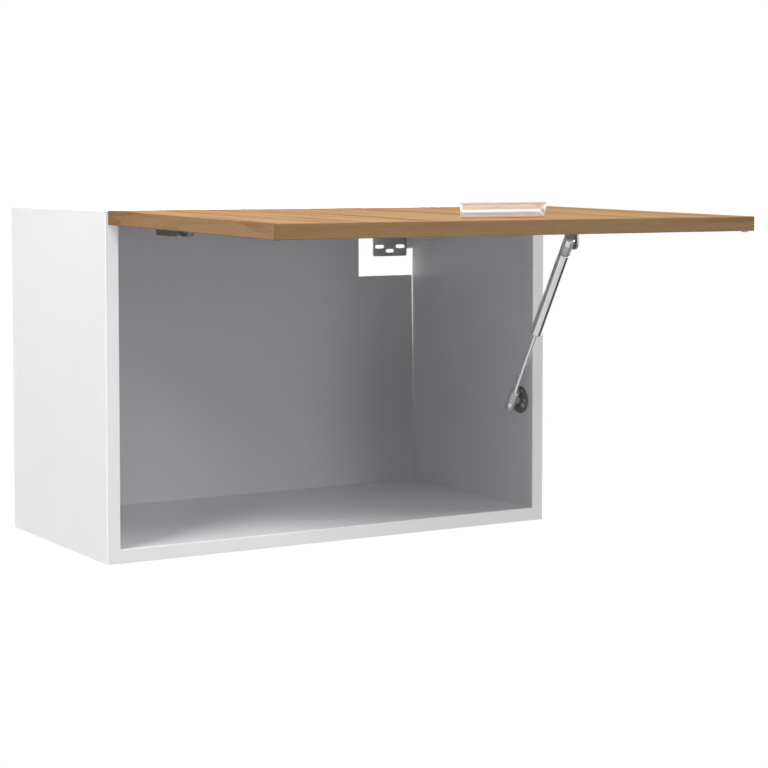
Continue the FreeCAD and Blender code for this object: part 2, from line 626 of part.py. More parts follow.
def make_hanger(side, sign):
    """Housing, hook and wall plate of one upper corner."""
    def span(low, high):
        """Low X of a stretch that is measured on the right, for this side."""
        return low if sign > 0 else f"-({high})"

    body = padded(f"{side}_housing", "carcass", "YZ_Plane",
                  (span("housing_side", "inner_half"), "0", "0"), housing_outline, "housing_thickness")
    hook_high = "hook_side + hook_thickness"
    blade_low = "lip_top - hook_height"
    slot = block(f"{side}_hook_slot", "carcass",
                 (span("hook_side - hook_play", hook_high + " + hook_play"),
                  "-housing_start - hook_reach - hook_play", blade_low + " - hook_play"),
                 ("hook_thickness + 2 * hook_play", f"hook_reach + hook_play + {OVERCUT}",
                  "hook_height + hook_thickness + 2 * hook_play"))
    window = block(f"{side}_hook_window", "carcass",
                   (span(f"housing_side - {OVERCUT}", hook_high), "bridge_front - hook_play",
                    "lip_top - hook_play"),
                   (f"hook_inset + hook_thickness + {OVERCUT}",
                    f"-housing_start - bridge_front + hook_play + {OVERCUT}",
                    "hook_thickness + 2 * hook_play"))
    housing = fuse(f"{side}_housing", body, side_pegs[side])
    node(f"{side}_hanger_housing", cut(f"{side}_hanger_housing", housing, slot, window, adjuster_holes))

    claw_low = hook_high + " - claw_width"
    claw_high = "housing_side - hook_play"
    hook = fuse(
        f"{side}_hook",
        block(f"{side}_blade", "carcass",
              (span("hook_side", hook_high), "-housing_start - hook_reach", blade_low),
              ("hook_thickness", "housing_start + hook_reach - claw_gap", "hook_height + hook_thickness")),
        block(f"{side}_bridge", "carcass", (span(claw_low, hook_high), "bridge_front", "lip_top"),
              ("claw_width", "-bridge_front - claw_gap", "hook_thickness")),
        block(f"{side}_claw", "carcass",
              (span(claw_low, claw_high), "-joggle_depth + claw_gap", "lip_top - claw_drop"),
              (f"{claw_high} - ({claw_low})", "joggle_depth - 2 * claw_gap",
               "claw_drop + hook_thickness")),
    )
    node(f"{side}_hanger_hook", hook)

    plate = padded(f"{side}_plate", "carcass", "YZ_Plane",
                   (span("plate_x - plate_width / 2", "plate_x + plate_width / 2"), "0", "0"), [
                       ("0", "-plate_foot"),
                       ("0", "joggle_start"),
                       ("-joggle_depth", "joggle_start + joggle_rise"),
                       ("-joggle_depth", "lip_top"),
                       ("lip_front", "lip_top"),
                       ("lip_front", "joggle_start + joggle_rise"),
                       ("-plate_thickness", "joggle_start"),
                       ("-plate_thickness", "-plate_foot"),
                   ], "plate_width")
    plate_low = value("-plate_foot")

    def is_lower_corner(edge):
        """True for the two short edges at the foot of the plate."""
        box = edge.BoundBox
        is_short = max(box.XLength, box.ZLength) < TOLERANCE
        return is_short and abs(box.ZMin - plate_low) < TOLERANCE

    plate = rounded(f"{side}_plate_rounded", plate, "plate_corner", is_lower_corner)
    slots = slot_tools(f"{side}_lower_slot", f"{sign} * plate_x", "0", "lower_slot_length")
    for part, way in (("inner", -1), ("outer", 1)):
        slots += slot_tools(f"{side}_{part}_slot", f"{sign} * plate_x + {way} * upper_slot_pitch / 2",
                            "upper_slot_rise", "upper_slot_length")
    node(f"{side}_wall_plate", cut(f"{side}_wall_plate", plate, *slots))


side_pegs = {
    "left": turned("left_pegs", "carcass", "X", peg_at,
                   drum("-inner_half - peg_length", "-inner_half", "peg_radius"), peg_rows),
    "right": turned("right_pegs", "carcass", "X", peg_at,
                    drum("inner_half", "inner_half + peg_length", "peg_radius"), peg_rows),
}
SIDES = (("left", -1), ("right", 1))
for side, sign in SIDES:
    make_hanger(side, sign)

# Hinge mounting plates and arms, under the top panel
wing_y = "front + plate_setback"
plate_screw_at = ("-hinge_x - plate_screw_pitch / 2", wing_y, "top_panel_low - wing_thickness")
plate_screw_rows = [("X", PAIR_COUNT, "plate_screw_pitch"), ("X", PAIR_COUNT, "2 * hinge_x")]
plate_grip = "screw_grip + wing_thickness"
plate_screws = turned("plate_screws", "carcass", "Z", plate_screw_at,
                      screw_profile("0", -1, plate_grip, "screw_radius", "screw_head_radius",
                                    "screw_head_height"), plate_screw_rows)
plate_screw_holes = turned("plate_screw_holes", "carcass", "Z", plate_screw_at,
                           shank_profile("0", -1, plate_grip, "screw_radius"), plate_screw_rows)
node("hinge_plate_screws", plate_screws)
arm_screw_at = ("-hinge_x", "arm_front + arm_screw_start", "arm_low")
arm_screw_rows = [("X", PAIR_COUNT, "2 * hinge_x"), ("Y", PAIR_COUNT, "arm_screw_pitch")]
arm_screws = turned("arm_screws", "carcass", "Z", arm_screw_at,
                    screw_profile("0", -1, "arm_screw_length", "screw_radius", "screw_head_radius",
                                  "screw_head_height"), arm_screw_rows)
arm_screw_holes = turned("arm_screw_holes", "carcass", "Z", arm_screw_at,
                         shank_profile("0", -1, "arm_screw_length", "screw_radius"), arm_screw_rows)
node("hinge_arm_screws", arm_screws)
neck_half = "neck_thickness / 2"
neck_outline = [
    (f"pin_y - {neck_half}", "pin_z"),
    (f"pin_y - {neck_half}", "arm_low + neck_thickness"),
    (f"pin_y + {neck_half}", "arm_low"),
    ("arm_front + arm_wall", "arm_low"),
    ("arm_front + arm_wall", "arm_low + neck_thickness"),
    ("pin_y + neck_thickness", "arm_low + neck_thickness"),
    (f"pin_y + {neck_half}", "arm_low + neck_thickness + neck_thickness / 2"),
    (f"pin_y + {neck_half}", "pin_z"),
]


def make_hinge_arm(side, sign):
    """Mounting plate and arm of one hinge, with the eye that turns on the hinge pin."""
    middle = f"{sign} * hinge_x"
    wings = block(f"{side}_wings", "carcass",
                  (f"{middle} - wing_length / 2", wing_y + " - wing_width / 2",
                   "top_panel_low - wing_thickness"),
                  ("wing_length", "wing_width", "wing_thickness"))
    saddle = block(f"{side}_saddle", "carcass",
                   (f"{middle} - saddle_half", "arm_front + (arm_length - saddle_length) / 2",
                    "arm_low + arm_wall"),
                   ("2 * saddle_half", "saddle_length", "arm_drop - arm_wall - wing_thickness"))
    plate = fuse(f"{side}_hinge_plate", wings, saddle)
    node(f"{side}_hinge_plate", cut(f"{side}_hinge_plate", plate, plate_screw_holes, arm_screw_holes))

    channel = block(f"{side}_channel", "carcass", (f"{middle} - arm_width / 2", "arm_front", "arm_low"),
                    ("arm_width", "arm_length", "arm_height"))
    hollow = block(f"{side}_channel_hollow", "carcass",
                   (f"{middle} - arm_width / 2 + arm_wall", "arm_front + arm_wall", "arm_low + arm_wall"),
                   ("arm_width - 2 * arm_wall", f"arm_length - arm_wall + {OVERCUT}",
                    f"arm_height + {OVERCUT}"))
    neck = padded(f"{side}_neck", "carcass", "YZ_Plane", (f"{middle} - neck_width / 2", "0", "0"),
                  neck_outline, "neck_width")
    eye = turned(f"{side}_eye", "carcass", "X", (f"{middle} - neck_width / 2", "pin_y", "pin_z"),
                 drum("0", "neck_width", "eye_radius"))
    eye_bore = turned(f"{side}_eye_bore", "carcass", "X", (f"{middle} - neck_width", "pin_y", "pin_z"),
                      drum("0", "2 * neck_width", "pin_radius + run_play"))
    arm = fuse(f"{side}_hinge_arm", cut(f"{side}_channel", channel, hollow), neck, eye)
    node(f"{side}_hinge_arm", cut(f"{side}_hinge_arm", arm, eye_bore, arm_screw_holes))


for side, sign in SIDES:
    make_hinge_arm(side, sign)

# Base plate of the strut on the right panel, with its ball stud
base_at = ("0", "strut_y", "strut_z")
base_seat = "inner_half - base_thickness"
base = turned("base", "carcass", "X", base_at, [
    (f"{base_seat} - boss_height", "0"),
    (f"{base_seat} - boss_height", "boss_radius - boss_height"),
    (base_seat, "boss_radius"),
    (base_seat, "base_radius - base_bevel"),
    (f"{base_seat} + base_bevel", "base_radius"),
    ("inner_half", "base_radius"),
    ("inner_half", "0"),
])
base_grip = "screw_grip + base_thickness"
base_screws = []
base_screw_holes = []
for number in range(BASE_SCREWS):
    angle = f"(90 + {number} * 360 / {BASE_SCREWS})"
    spot = (base_seat, f"strut_y + base_screw_circle * cos{angle}",
            f"strut_z + base_screw_circle * sin{angle}")
    base_screws.append(turned(f"base_screw{number}", "carcass", "X", spot,
                              screw_profile("0", -1, base_grip, "screw_radius", "screw_head_radius",
                                            "screw_head_height")))
    base_screw_holes.append(turned(f"base_screw_hole{number}", "carcass", "X", spot,
                                   shank_profile("0", -1, base_grip, "screw_radius")))
node("strut_base_screws", group("strut_base_screws", *base_screws))
stud_shank = drum("strut_x", "inner_half", "stud_radius")
stud = fuse("lower_stud",
            ball("lower_stud_ball", "carcass", ("strut_x", "strut_y", "strut_z"), "ball_radius"),
            turned("lower_stud_shank", "carcass", "X", base_at, stud_shank))
stud_hole = turned("lower_stud_hole", "carcass", "X", base_at, stud_shank, grow="hole_play")
node("lower_ball_stud", stud)
node("strut_base_plate", cut("strut_base_plate", base, stud_hole, *base_screw_holes))

# Boards of the carcass, drilled for their fittings
board_depth = "carcass_depth - band"


def make_side_panel(side, sign, *holes):
    """One full-height side panel with its drillings."""
    outer = "-half_width" if sign < 0 else "inner_half"
    panel = block(f"{side}_board", "carcass", (outer, "front + band", "underside"),
                  ("board", board_depth, "height"))
    drillings = [dowel_holes, thread_holes, peg_holes, *holes]
    node(f"{side}_side_panel", cut(f"{side}_side_panel", panel, *drillings))


def make_cross_panel(name, low, rebate_low, nail_hole, *holes):
    """The top or bottom panel, between the sides."""
    panel = block(f"{name}_board", "carcass", ("-inner_half", "front + band", low),
                  ("2 * inner_half", board_depth, "board"))
    groove = block(f"{name}_rebate", "carcass", (f"-inner_half - {OVERCUT}", "-back_board", rebate_low),
                   (f"2 * inner_half + {2 * OVERCUT}", f"back_board + {OVERCUT}", f"rebate + {OVERCUT}"))
    node(name, cut(name, panel, groove, dowel_holes, bolt_bores, cam_holes, nail_hole, *holes))


make_side_panel("left", -1)
make_side_panel("right", 1, *base_screw_holes)
make_cross_panel("top_panel", "top_panel_low", f"top_panel_low - {OVERCUT}", nail_holes["top"],
                 plate_screw_holes)
make_cross_panel("bottom_panel", "underside", "bottom_panel_high - rebate", nail_holes["bottom"])

# White edge bands on the front edges of the carcass
side_bands = padded("side_bands", "carcass", "XY_Plane", ("0", "0", "underside"), [
    ("-half_width", "front + band"),
    ("-half_width", "front + band_bevel"),
    ("band_bevel - half_width", "front"),
    ("-inner_half - band_bevel", "front"),
    ("-inner_half", "front + band_bevel"),
    ("-inner_half", "front + band"),
], "height", mirror=True)
cross_bands = padded("cross_bands", "carcass", "YZ_Plane", ("-inner_half", "0", "0"), [
    ("front + band", "underside"),
    ("front + band_bevel", "underside"),
    ("front", "underside + band_bevel"),
    ("front", "bottom_panel_high - band_bevel"),
    ("front + band_bevel", "bottom_panel_high"),
    ("front + band", "bottom_panel_high"),
], "2 * inner_half", [("Z", PAIR_COUNT, "height - board")])
node("carcass_edge_bands", group("carcass_edge_bands", side_bands, cross_bands))

# Handle on the flap: a block with a finger scoop that opens towards the free edge
handle_screw_at = ("-handle_screw_pitch / 2", "0", "handle_mouth + handle_screw_set")
handle_screw_rows = [("X", PAIR_COUNT, "handle_screw_pitch")]
handle_grip = "flap_board + handle_screw_grip"
handle_screws = turned("handle_screws_row", "flap", "Y", handle_screw_at,
                       screw_profile("pin_depth", 1, handle_grip, "handle_screw_radius",
                                     "handle_screw_head_radius", "handle_screw_head_height"),
                       handle_screw_rows)
handle_screw_holes = turned("handle_screw_holes", "flap", "Y", handle_screw_at,
                            shank_profile("pin_depth", 1, handle_grip, "handle_screw_radius"),
                            handle_screw_rows)
node("handle_screws", handle_screws)
long_half = f"(handle_length / 2 + handle_flare + {OVERCUT})"
handle_bar = fuse(
    "handle_bar",
    block("handle_flat", "flap", ("-" + long_half, "handle_top", "handle_mouth"),
          ("2 * " + long_half, "handle_height", "handle_lip")),
    turned("handle_round", "flap", "X", ("-" + long_half, "flap_outer", "handle_mouth + handle_lip"),
           drum("0", "2 * " + long_half, "handle_height")),
)
handle_limit = doc.addObject("Part::Wedge", "handle_limit")
bind(handle_limit, Xmin="-handle_length / 2 - handle_flare", Xmax="handle_length / 2 + handle_flare",
     X2min="-handle_length / 2", X2max="handle_length / 2", Ymin="handle_top", Ymax="flap_outer",
     Zmin="handle_mouth", Zmax="handle_mouth + handle_lip + handle_height",
     Z2min="handle_mouth", Z2max="handle_mouth + handle_lip + handle_height")
place(handle_limit, "flap", "0", "0", "0")
handle_back = "handle_mouth + handle_lip + handle_height"
scoop_front = f"handle_mouth - {OVERCUT}"
scoop = fuse(
    "scoop",
    block("scoop_flat", "flap", ("-" + long_half, "handle_top + lip_thickness", scoop_front),
          ("2 * " + long_half, "2 * scoop_radius", f"scoop_straight + {OVERCUT}")),
    turned("scoop_round", "flap", "X",
           ("-" + long_half, "handle_top + lip_thickness + scoop_radius", "handle_mouth + scoop_straight"),
           drum("0", "2 * " + long_half, "scoop_radius")),
)


def handle_plan(name, front, half):
    """Plan of the handle or of its scoop, from its front to the handle's back and narrower there."""
    return padded(name, "flap", "XZ_Plane", ("0", "flap_outer", "0"), [
        (f"-({half})", front),
        (half, front),
        (f"{half} - handle_taper", handle_back),
        (f"handle_taper - ({half})", handle_back),
    ], "handle_height")


lip_half = "handle_length / 2 + handle_flare"
handle_body = common("handle_ends", common("handle", handle_bar, handle_limit),
                     handle_plan("handle_plan", "handle_mouth", lip_half))
handle_scoop = common("handle_scoop", scoop,
                      handle_plan("scoop_plan", scoop_front, lip_half + " - handle_wall"))
node("handle", cut("handle", handle_body, handle_scoop, handle_screw_holes))

# Hinge cups in the flap, with the pins that the arms turn on
cup_face = "pin_depth + flange_thickness"
cup_screw_at = ("-hinge_x - cup_screw_pitch / 2", "0", "cup_z - cup_screw_shift")
cup_screw_rows = [("X", PAIR_COUNT, "cup_screw_pitch"), ("X", PAIR_COUNT, "2 * hinge_x")]
cup_grip = "screw_grip + flange_thickness"
cup_screws = turned("cup_screws", "flap", "Y", cup_screw_at,
                    screw_profile(cup_face, 1, cup_grip, "screw_radius", "screw_head_radius",
                                  "screw_head_height"), cup_screw_rows)
cup_screw_holes = turned("cup_screw_holes", "flap", "Y", cup_screw_at,
                         shank_profile(cup_face, 1, cup_grip, "screw_radius"), cup_screw_rows)
node("hinge_cup_screws", cup_screws)
cup_bores = turned("cup_bores", "flap", "Y", ("-hinge_x", "0", "cup_z"),
                   drum("pin_depth - cup_depth", "pin_depth", "cup_radius"),
                   [("X", PAIR_COUNT, "2 * hinge_x")])
shell_radius = "cup_radius - hole_play"


def make_hinge_cup(side, sign):
    """Cup of one hinge: round shell, flange with two ears, and cheeks that hold the pin."""
    middle = f"{sign} * hinge_x"
    centre = (middle, "0", "cup_z")
    shell = turned(f"{side}_cup_shell", "flap", "Y", centre, [
        ("pin_depth - cup_depth", "0"),
        ("pin_depth - cup_depth", shell_radius),
        (cup_face, shell_radius),
        (cup_face, shell_radius + " - cup_wall"),
        ("pin_depth - cup_depth + cup_floor", shell_radius + " - cup_wall"),
        ("pin_depth - cup_depth + cup_floor", "0"),
    ])
    solid = turned(f"{side}_cup_solid", "flap", "Y", centre,
                   drum("pin_depth - cup_depth", cup_face, shell_radius))
    ears = block(f"{side}_cup_ears", "flap",
                 (f"{middle} - flange_length / 2", "pin_depth",
                  "cup_z - cup_screw_shift - flange_width / 2"),
                 ("flange_length", "flange_thickness", "flange_width"))
    ears = cut(f"{side}_cup_ears", ears, solid)
    cheek_block = block(f"{side}_cheek_block", "flap",
                        (f"{middle} - pin_length / 2", "pin_depth - cup_depth", "-pin_radius - cheek_wall"),
                        ("pin_length", "cup_depth - pin_depth + pin_radius + cheek_wall", "2 * cup_radius"))
    cheek_space = block(f"{side}_cheek_space", "flap",
                        (f"{middle} - neck_width / 2 - cheek_gap", "pin_depth - cup_depth + cup_floor",
                         f"-pin_radius - cheek_wall - {OVERCUT}"),
                        ("neck_width + 2 * cheek_gap", "2 * cup_depth", "3 * cup_radius"))
    cheeks = cut(f"{side}_cheeks", common(f"{side}_cheeks", cheek_block, solid), cheek_space)
    pin = turned(f"{side}_pin", "flap", "X", (f"{middle} - pin_length / 2", "0", "0"),
                 drum("0", "pin_length", "pin_radius"))
    pin_hole = turned(f"{side}_pin_hole", "flap", "X", (f"{middle} - pin_length / 2", "0", "0"),
                      drum("0", "pin_length", "pin_radius"), grow="hole_play")
    cup = fuse(f"{side}_hinge_cup", shell, ears, cheeks)
    node(f"{side}_hinge_cup", cut(f"{side}_hinge_cup", cup, pin_hole, cup_screw_holes))
    node(f"{side}_hinge_pin", pin)


for side, sign in SIDES:
    make_hinge_cup(side, sign)

# Bracket of the strut on the flap
foot_seat = "pin_depth + foot_thickness"
bracket_grip = "screw_grip + foot_thickness"
bracket_screw_at = ("leg_x - foot_width / 2", "0", "bracket_z - bracket_screw_pitch / 2")
bracket_screw_rows = [("Z", PAIR_COUNT, "bracket_screw_pitch")]
bracket_screws = turned("bracket_screws", "flap", "Y", bracket_screw_at,
                        screw_profile(foot_seat, 1, bracket_grip, "screw_radius", "screw_head_radius",
                                      "screw_head_height"), bracket_screw_rows)
bracket_screw_holes = turned("bracket_screw_holes", "flap", "Y", bracket_screw_at,
                             shank_profile(foot_seat, 1, bracket_grip, "screw_radius"), bracket_screw_rows)
node("strut_bracket_screws", bracket_screws)
bracket = fuse(
    "bracket",
    block("bracket_foot", "flap", ("leg_x - foot_width", "pin_depth", "bracket_z - foot_length / 2"),
          ("foot_width + leg_thickness", "foot_thickness", "foot_length")),
    block("bracket_leg", "flap", ("leg_x", "pin_depth", "bracket_z - leg_radius"),
          ("leg_thickness", "bracket_drop", "2 * leg_radius")),
    turned("bracket_end", "flap", "X", ("leg_x", "bracket_y", "bracket_z"),
           drum("0", "leg_thickness", "leg_radius")),
    turned("bracket_rivet", "flap", "X", ("leg_x + leg_thickness", "bracket_y", "bracket_z"),
           drum("0", "rivet_height", "rivet_radius")),
)
node("strut_bracket", cut("strut_bracket", bracket, bracket_screw_holes))

# Closing buffers on the flap's inner face, in front of the side panels
buffer_x = "half_width - board / 2"
buffer_top = "pin_depth + flap_gap - stop_play"
buffer_at = (f"-({buffer_x})", "0", "flap_free + buffer_inset")
node("closing_buffers", turned("buffers", "flap", "Y", buffer_at, [
    ("pin_depth", "0"),
    ("pin_depth", "buffer_radius"),
    ("pin_depth + buffer_rim", "buffer_radius"),
    (buffer_top, "buffer_crown"),
    (buffer_top, "0"),
], [("X", PAIR_COUNT, f"2 * ({buffer_x})")]))

# Flap with its edge bands
core = block("flap_core", "flap", ("band - flap_half", "flap_outer", "flap_free + band"),
             ("2 * (flap_half - band)", "flap_board", "flap_length - 2 * band"))
node("flap_panel", cut("flap_panel", core, cup_bores, cup_screw_holes, bracket_screw_holes,
                       handle_screw_holes))


def band_outline(seat, edge, way):
    """Section of an edge band from its seat out to the edge, across the flap's thickness."""
    bevel = f"{edge} - {way} * band_bevel"
    return [
        ("flap_outer", seat),
        ("flap_outer", bevel),
        ("flap_outer + band_bevel", edge),
        ("pin_depth - band_bevel", edge),
        ("pin_depth", bevel),
        ("pin_depth", seat),
    ]


hinge_band = padded("hinge_edge_band", "flap", "YZ_Plane", ("-flap_half", "0", "0"),
                    band_outline("pin_edge - band", "pin_edge", 1), "2 * flap_half")
free_band = padded("free_edge_band", "flap", "YZ_Plane", ("-flap_half", "0", "0"),
                   band_outline("flap_free + band", "flap_free", -1), "2 * flap_half")
end_bands = padded("end_bands", "flap", "XY_Plane", ("0", "0", "flap_free + band"),
                   [(across, up) for up, across in band_outline("flap_half - band", "flap_half", 1)],
                   "flap_length - 2 * band", mirror=True)
node("flap_edge_bands", group("flap_edge_bands", hinge_band, free_band, end_bands))


# Gas strut, along Z of its own frame
def make_socket(name, level, radius, low, high, *plug):
    """Round socket in line with the strut, with the ball's seat and a mouth for the stud."""
    stem = turned(f"{name}_stem", "strut", "Z", ("0", "0", "0"), [
        (low, "0"),
        (low, f"{radius} - socket_bevel"),
        (f"{low} + socket_bevel", radius),
        (f"{high} - socket_bevel", radius),
        (high, f"{radius} - socket_bevel"),
        (high, "0"),
    ])
    seat = ball(f"{name}_seat", "strut", ("0", "0", level), "ball_radius + ball_play")
    mouth = turned(f"{name}_mouth", "strut", "X", ("0", "0", level),
                   drum("0", f"{radius} + {OVERCUT}", "stud_radius + stud_play"))
    return cut(name, fuse(name, stem, *plug) if plug else stem, seat, mouth)


strut_foot = ("0", "0", "0")
rod = turned("rod", "strut", "Z", strut_foot, drum("rod_seat", "piston_high", "rod_radius"))
rod_hole = turned("rod_hole", "strut", "Z", strut_foot, drum("rod_seat", "piston_high", "rod_radius"),
                  grow="hole_play")
lower_socket = make_socket("lower_socket", "0", "lower_socket_radius", "-lower_socket_tail",
                           "lower_socket_reach")
node("strut_rod", rod)
node("lower_socket", cut("lower_socket_bored", lower_socket, rod_hole))
node("strut_piston", turned("piston", "strut", "Z", strut_foot,
                            ring("piston_low", "piston_high", "rod_radius + hole_play",
                                 "tube_bore - piston_play")))
node("strut_tube", turned("tube", "strut", "Z", strut_foot,
                          ring("tube_start", "tube_end", "tube_bore", "tube_radius")))
guide_bore = "rod_radius + run_play"
guide_outer = "tube_bore - hole_play"
node("rod_guide", turned("guide", "strut", "Z", strut_foot, [
    ("tube_start - guide_lip", guide_bore),
    ("tube_start - guide_lip", "tube_radius - guide_lip_inset"),
    ("tube_start", "tube_radius - guide_lip_inset"),
    ("tube_start", guide_outer),
    ("tube_start + guide_length", guide_outer),
    ("tube_start + guide_length", guide_bore),
]))
upper_plug = turned("upper_plug", "strut", "Z", strut_foot, [
    ("tube_end - plug_length", "0"),
    ("tube_end - plug_length", "tube_bore - hole_play"),
    ("tube_end", "tube_bore - hole_play"),
    ("tube_end", "collar_radius"),
    ("tube_end + collar_height", "collar_radius"),
    ("tube_end + collar_height", "0"),
])
node("upper_socket", make_socket("upper_socket", "strut_length", "upper_socket_radius",
                                 "tube_end + collar_height", "strut_length + upper_socket_tail",
                                 upper_plug))
node("upper_ball_stud", fuse(
    "upper_stud",
    ball("upper_stud_ball", "strut", ("0", "0", "strut_length"), "ball_radius"),
    turned("upper_stud_shank", "strut", "X", ("0", "0", "strut_length"),
           drum("0", "leg_offset - stub_gap", "stud_radius")),
))

doc.recompute()
for item in doc.Objects:
    if "Invalid" in item.State or "Error" in item.State:
        raise RuntimeError(f"{item.Name} ({item.Label}) did not build: {item.State}")
os.makedirs("parts", exist_ok=True)
for name, item in nodes.items():
    shape = item.Shape
    if shape.isNull() or not shape.isValid() or not shape.Solids:
        raise RuntimeError(f"{name} has no valid solid")
    if min(solid.Volume for solid in shape.Solids) <= 0:
        raise RuntimeError(f"{name} has a solid that is inside out")
    print(f"{name}: {len(shape.Solids)} solids, {shape.Volume:.0f} mm3")
for name, item in nodes.items():
    item.Shape.exportStep(f"parts/{name}.step")
print(f"{len(nodes)} sub-parts written")
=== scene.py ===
# Kitchen wall cabinet with a lift-up oak flap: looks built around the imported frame
import json
import math
import bmesh
import bpy
import numpy as np
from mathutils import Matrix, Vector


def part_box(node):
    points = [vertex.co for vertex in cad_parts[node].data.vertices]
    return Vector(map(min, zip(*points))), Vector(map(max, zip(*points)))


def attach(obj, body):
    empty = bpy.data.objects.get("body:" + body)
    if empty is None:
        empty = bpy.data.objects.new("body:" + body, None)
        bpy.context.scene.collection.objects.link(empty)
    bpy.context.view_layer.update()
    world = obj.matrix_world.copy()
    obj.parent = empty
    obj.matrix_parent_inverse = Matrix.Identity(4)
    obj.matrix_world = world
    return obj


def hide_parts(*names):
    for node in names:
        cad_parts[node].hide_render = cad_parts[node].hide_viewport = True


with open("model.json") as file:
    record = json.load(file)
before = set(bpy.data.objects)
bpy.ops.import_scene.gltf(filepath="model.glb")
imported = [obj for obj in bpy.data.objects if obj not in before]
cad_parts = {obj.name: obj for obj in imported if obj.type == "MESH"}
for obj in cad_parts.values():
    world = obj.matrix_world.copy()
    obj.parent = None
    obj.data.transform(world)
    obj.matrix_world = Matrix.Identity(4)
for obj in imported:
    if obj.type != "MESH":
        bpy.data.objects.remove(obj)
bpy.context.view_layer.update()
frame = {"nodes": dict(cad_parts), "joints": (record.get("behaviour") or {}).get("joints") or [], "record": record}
nodes = frame["nodes"]
record = frame["record"]
joints = {joint["name"]: joint for joint in frame["joints"]}
bodyOf = {node: body for body, members in record["behaviour"]["bodies"].items() for node in members}
slotOf = {part["node"]: part["material_slot"] for part in record["subparts"]}
mm = 0.001
alongX = np.array([1.0, 0, 0])
print("frame loaded:", len(nodes), "nodes")

# The flap's own ways, turned by its swing: inward is off its inner face, up runs along it to the hinge edge
flapPin = np.array(joints["flap_hinge"]["pos_m"])
flapSwing = math.radians(joints["flap_hinge"]["range_deg"][1])
flapInward = np.array([0, math.cos(flapSwing), -math.sin(flapSwing)])
flapUp = np.array([0, math.sin(flapSwing), math.cos(flapSwing)])


# The corners of a mesh, as rows of x, y and z
def meshPlaces(mesh):
    places = np.empty(len(mesh.vertices) * 3)
    mesh.vertices.foreach_get("co", places)
    return places.reshape(-1, 3)


# A socket whose sums, products and comparisons add Math nodes
class Wire:
    def __init__(self, paint, socket):
        self.paint = paint
        self.socket = socket

    def __add__(self, other):
        return self.paint.maths("ADD", self, other)

    def __sub__(self, other):
        return self.paint.maths("SUBTRACT", self, other)

    def __rsub__(self, other):
        return self.paint.maths("SUBTRACT", other, self)

    def __mul__(self, other):
        return self.paint.maths("MULTIPLY", self, other)

    def __pow__(self, other):
        return self.paint.maths("POWER", self, other)

    def __gt__(self, other):
        return self.paint.maths("GREATER_THAN", self, other)

    def __abs__(self):
        return self.paint.maths("ABSOLUTE", self, 0.0)

    __radd__ = __add__
    __rmul__ = __mul__


# The nodes of one material, made by a single method
class Paint:
    def __init__(self, tree):
        self.tree = tree
        tree.nodes.clear()

    def add(self, kind, settings=None, inputs=None, output=0):
        node = self.tree.nodes.new(kind)
        for key, value in (settings or {}).items():
            setattr(node, key, value)
        for key, value in (inputs or {}).items():
            self.feed(node.inputs[key], value)
        return Wire(self, node.outputs[output]) if node.outputs else None

    def feed(self, socket, value):
        if isinstance(value, Wire):
            self.tree.links.new(value.socket, socket)
        else:
            socket.default_value = value

    def maths(self, operation, first, second):
        return self.add("ShaderNodeMath", {"operation": operation}, {0: first, 1: second})

    def place(self):
        return self.add("ShaderNodeTexCoord", output="Object")

    def axes(self):
        where = self.place()
        return [self.add("ShaderNodeSeparateXYZ", None, {0: where}, axis) for axis in range(3)]

    def stretched(self, where, by, shift=(0, 0, 0)):
        return self.add("ShaderNodeVectorMath", {"operation": "MULTIPLY_ADD"}, {0: where, 1: by, 2: shift})

    def noise(self, where, scale, detail=2.0, rough=0.5, distortion=0.0, shift=(0, 0, 0)):
        values = {"Vector": self.stretched(where, scale, shift), "Scale": 1.0, "Detail": detail,
                  "Roughness": rough, "Distortion": distortion}
        return self.add("ShaderNodeTexNoise", {"noise_dimensions": "3D"}, values)

    def ramp(self, value, low, high):
        values = {"Value": value, "From Min": low, "From Max": high}
        return self.add("ShaderNodeMapRange", {"clamp": True, "interpolation_type": "SMOOTHSTEP"}, values)

    def mix(self, factor, first, second, blend="MIX"):
        settings = {"data_type": "RGBA", "blend_type": blend, "clamp_factor": True}
        return self.add("ShaderNodeMix", settings, {0: factor, 6: first, 7: second}, 2)

    def bump(self, height, strength, distance):
        values = {"Height": height, "Strength": strength, "Distance": distance}
        return self.add("ShaderNodeBump", None, values)

    def surface(self, **sockets):
        inputs = {key.replace("_", " "): value for key, value in sockets.items()}
        shader = self.add("ShaderNodeBsdfPrincipled", None, inputs)
        self.add("ShaderNodeOutputMaterial", None, {"Surface": shader})


def newFinish(name):
    material = bpy.data.materials.new(name)
    material.use_nodes = True
    return material, Paint(material.node_tree)


def tone(red, green, blue):
    return (red, green, blue, 1.0)


# In each look, three numbers are a noise's scales per metre along three ways, a bump is its strength and its
# height in metres, and a range is where a ramp starts and ends

# White foil on chipboard: pearl bump on the foil, raw board on the edges that face the wall
boardLook = dict(white=tone(0.81, 0.80, 0.815), shade=tone(0.775, 0.765, 0.78), chip=tone(0.50, 0.36, 0.22),
                 chipDark=tone(0.27, 0.17, 0.09), cloud=(9, 9, 9), cloudRange=(0.35, 0.75), shading=0.35,
                 pearl=(1500, 1500, 1500), flakes=(420, 420, 420), flakeRange=(0.40, 0.62), flakeRise=6.0,
                 rearEdge=-0.0004, roughness=0.36, cloudRough=0.08, rawRough=0.35, bump=(0.10, 0.00012))


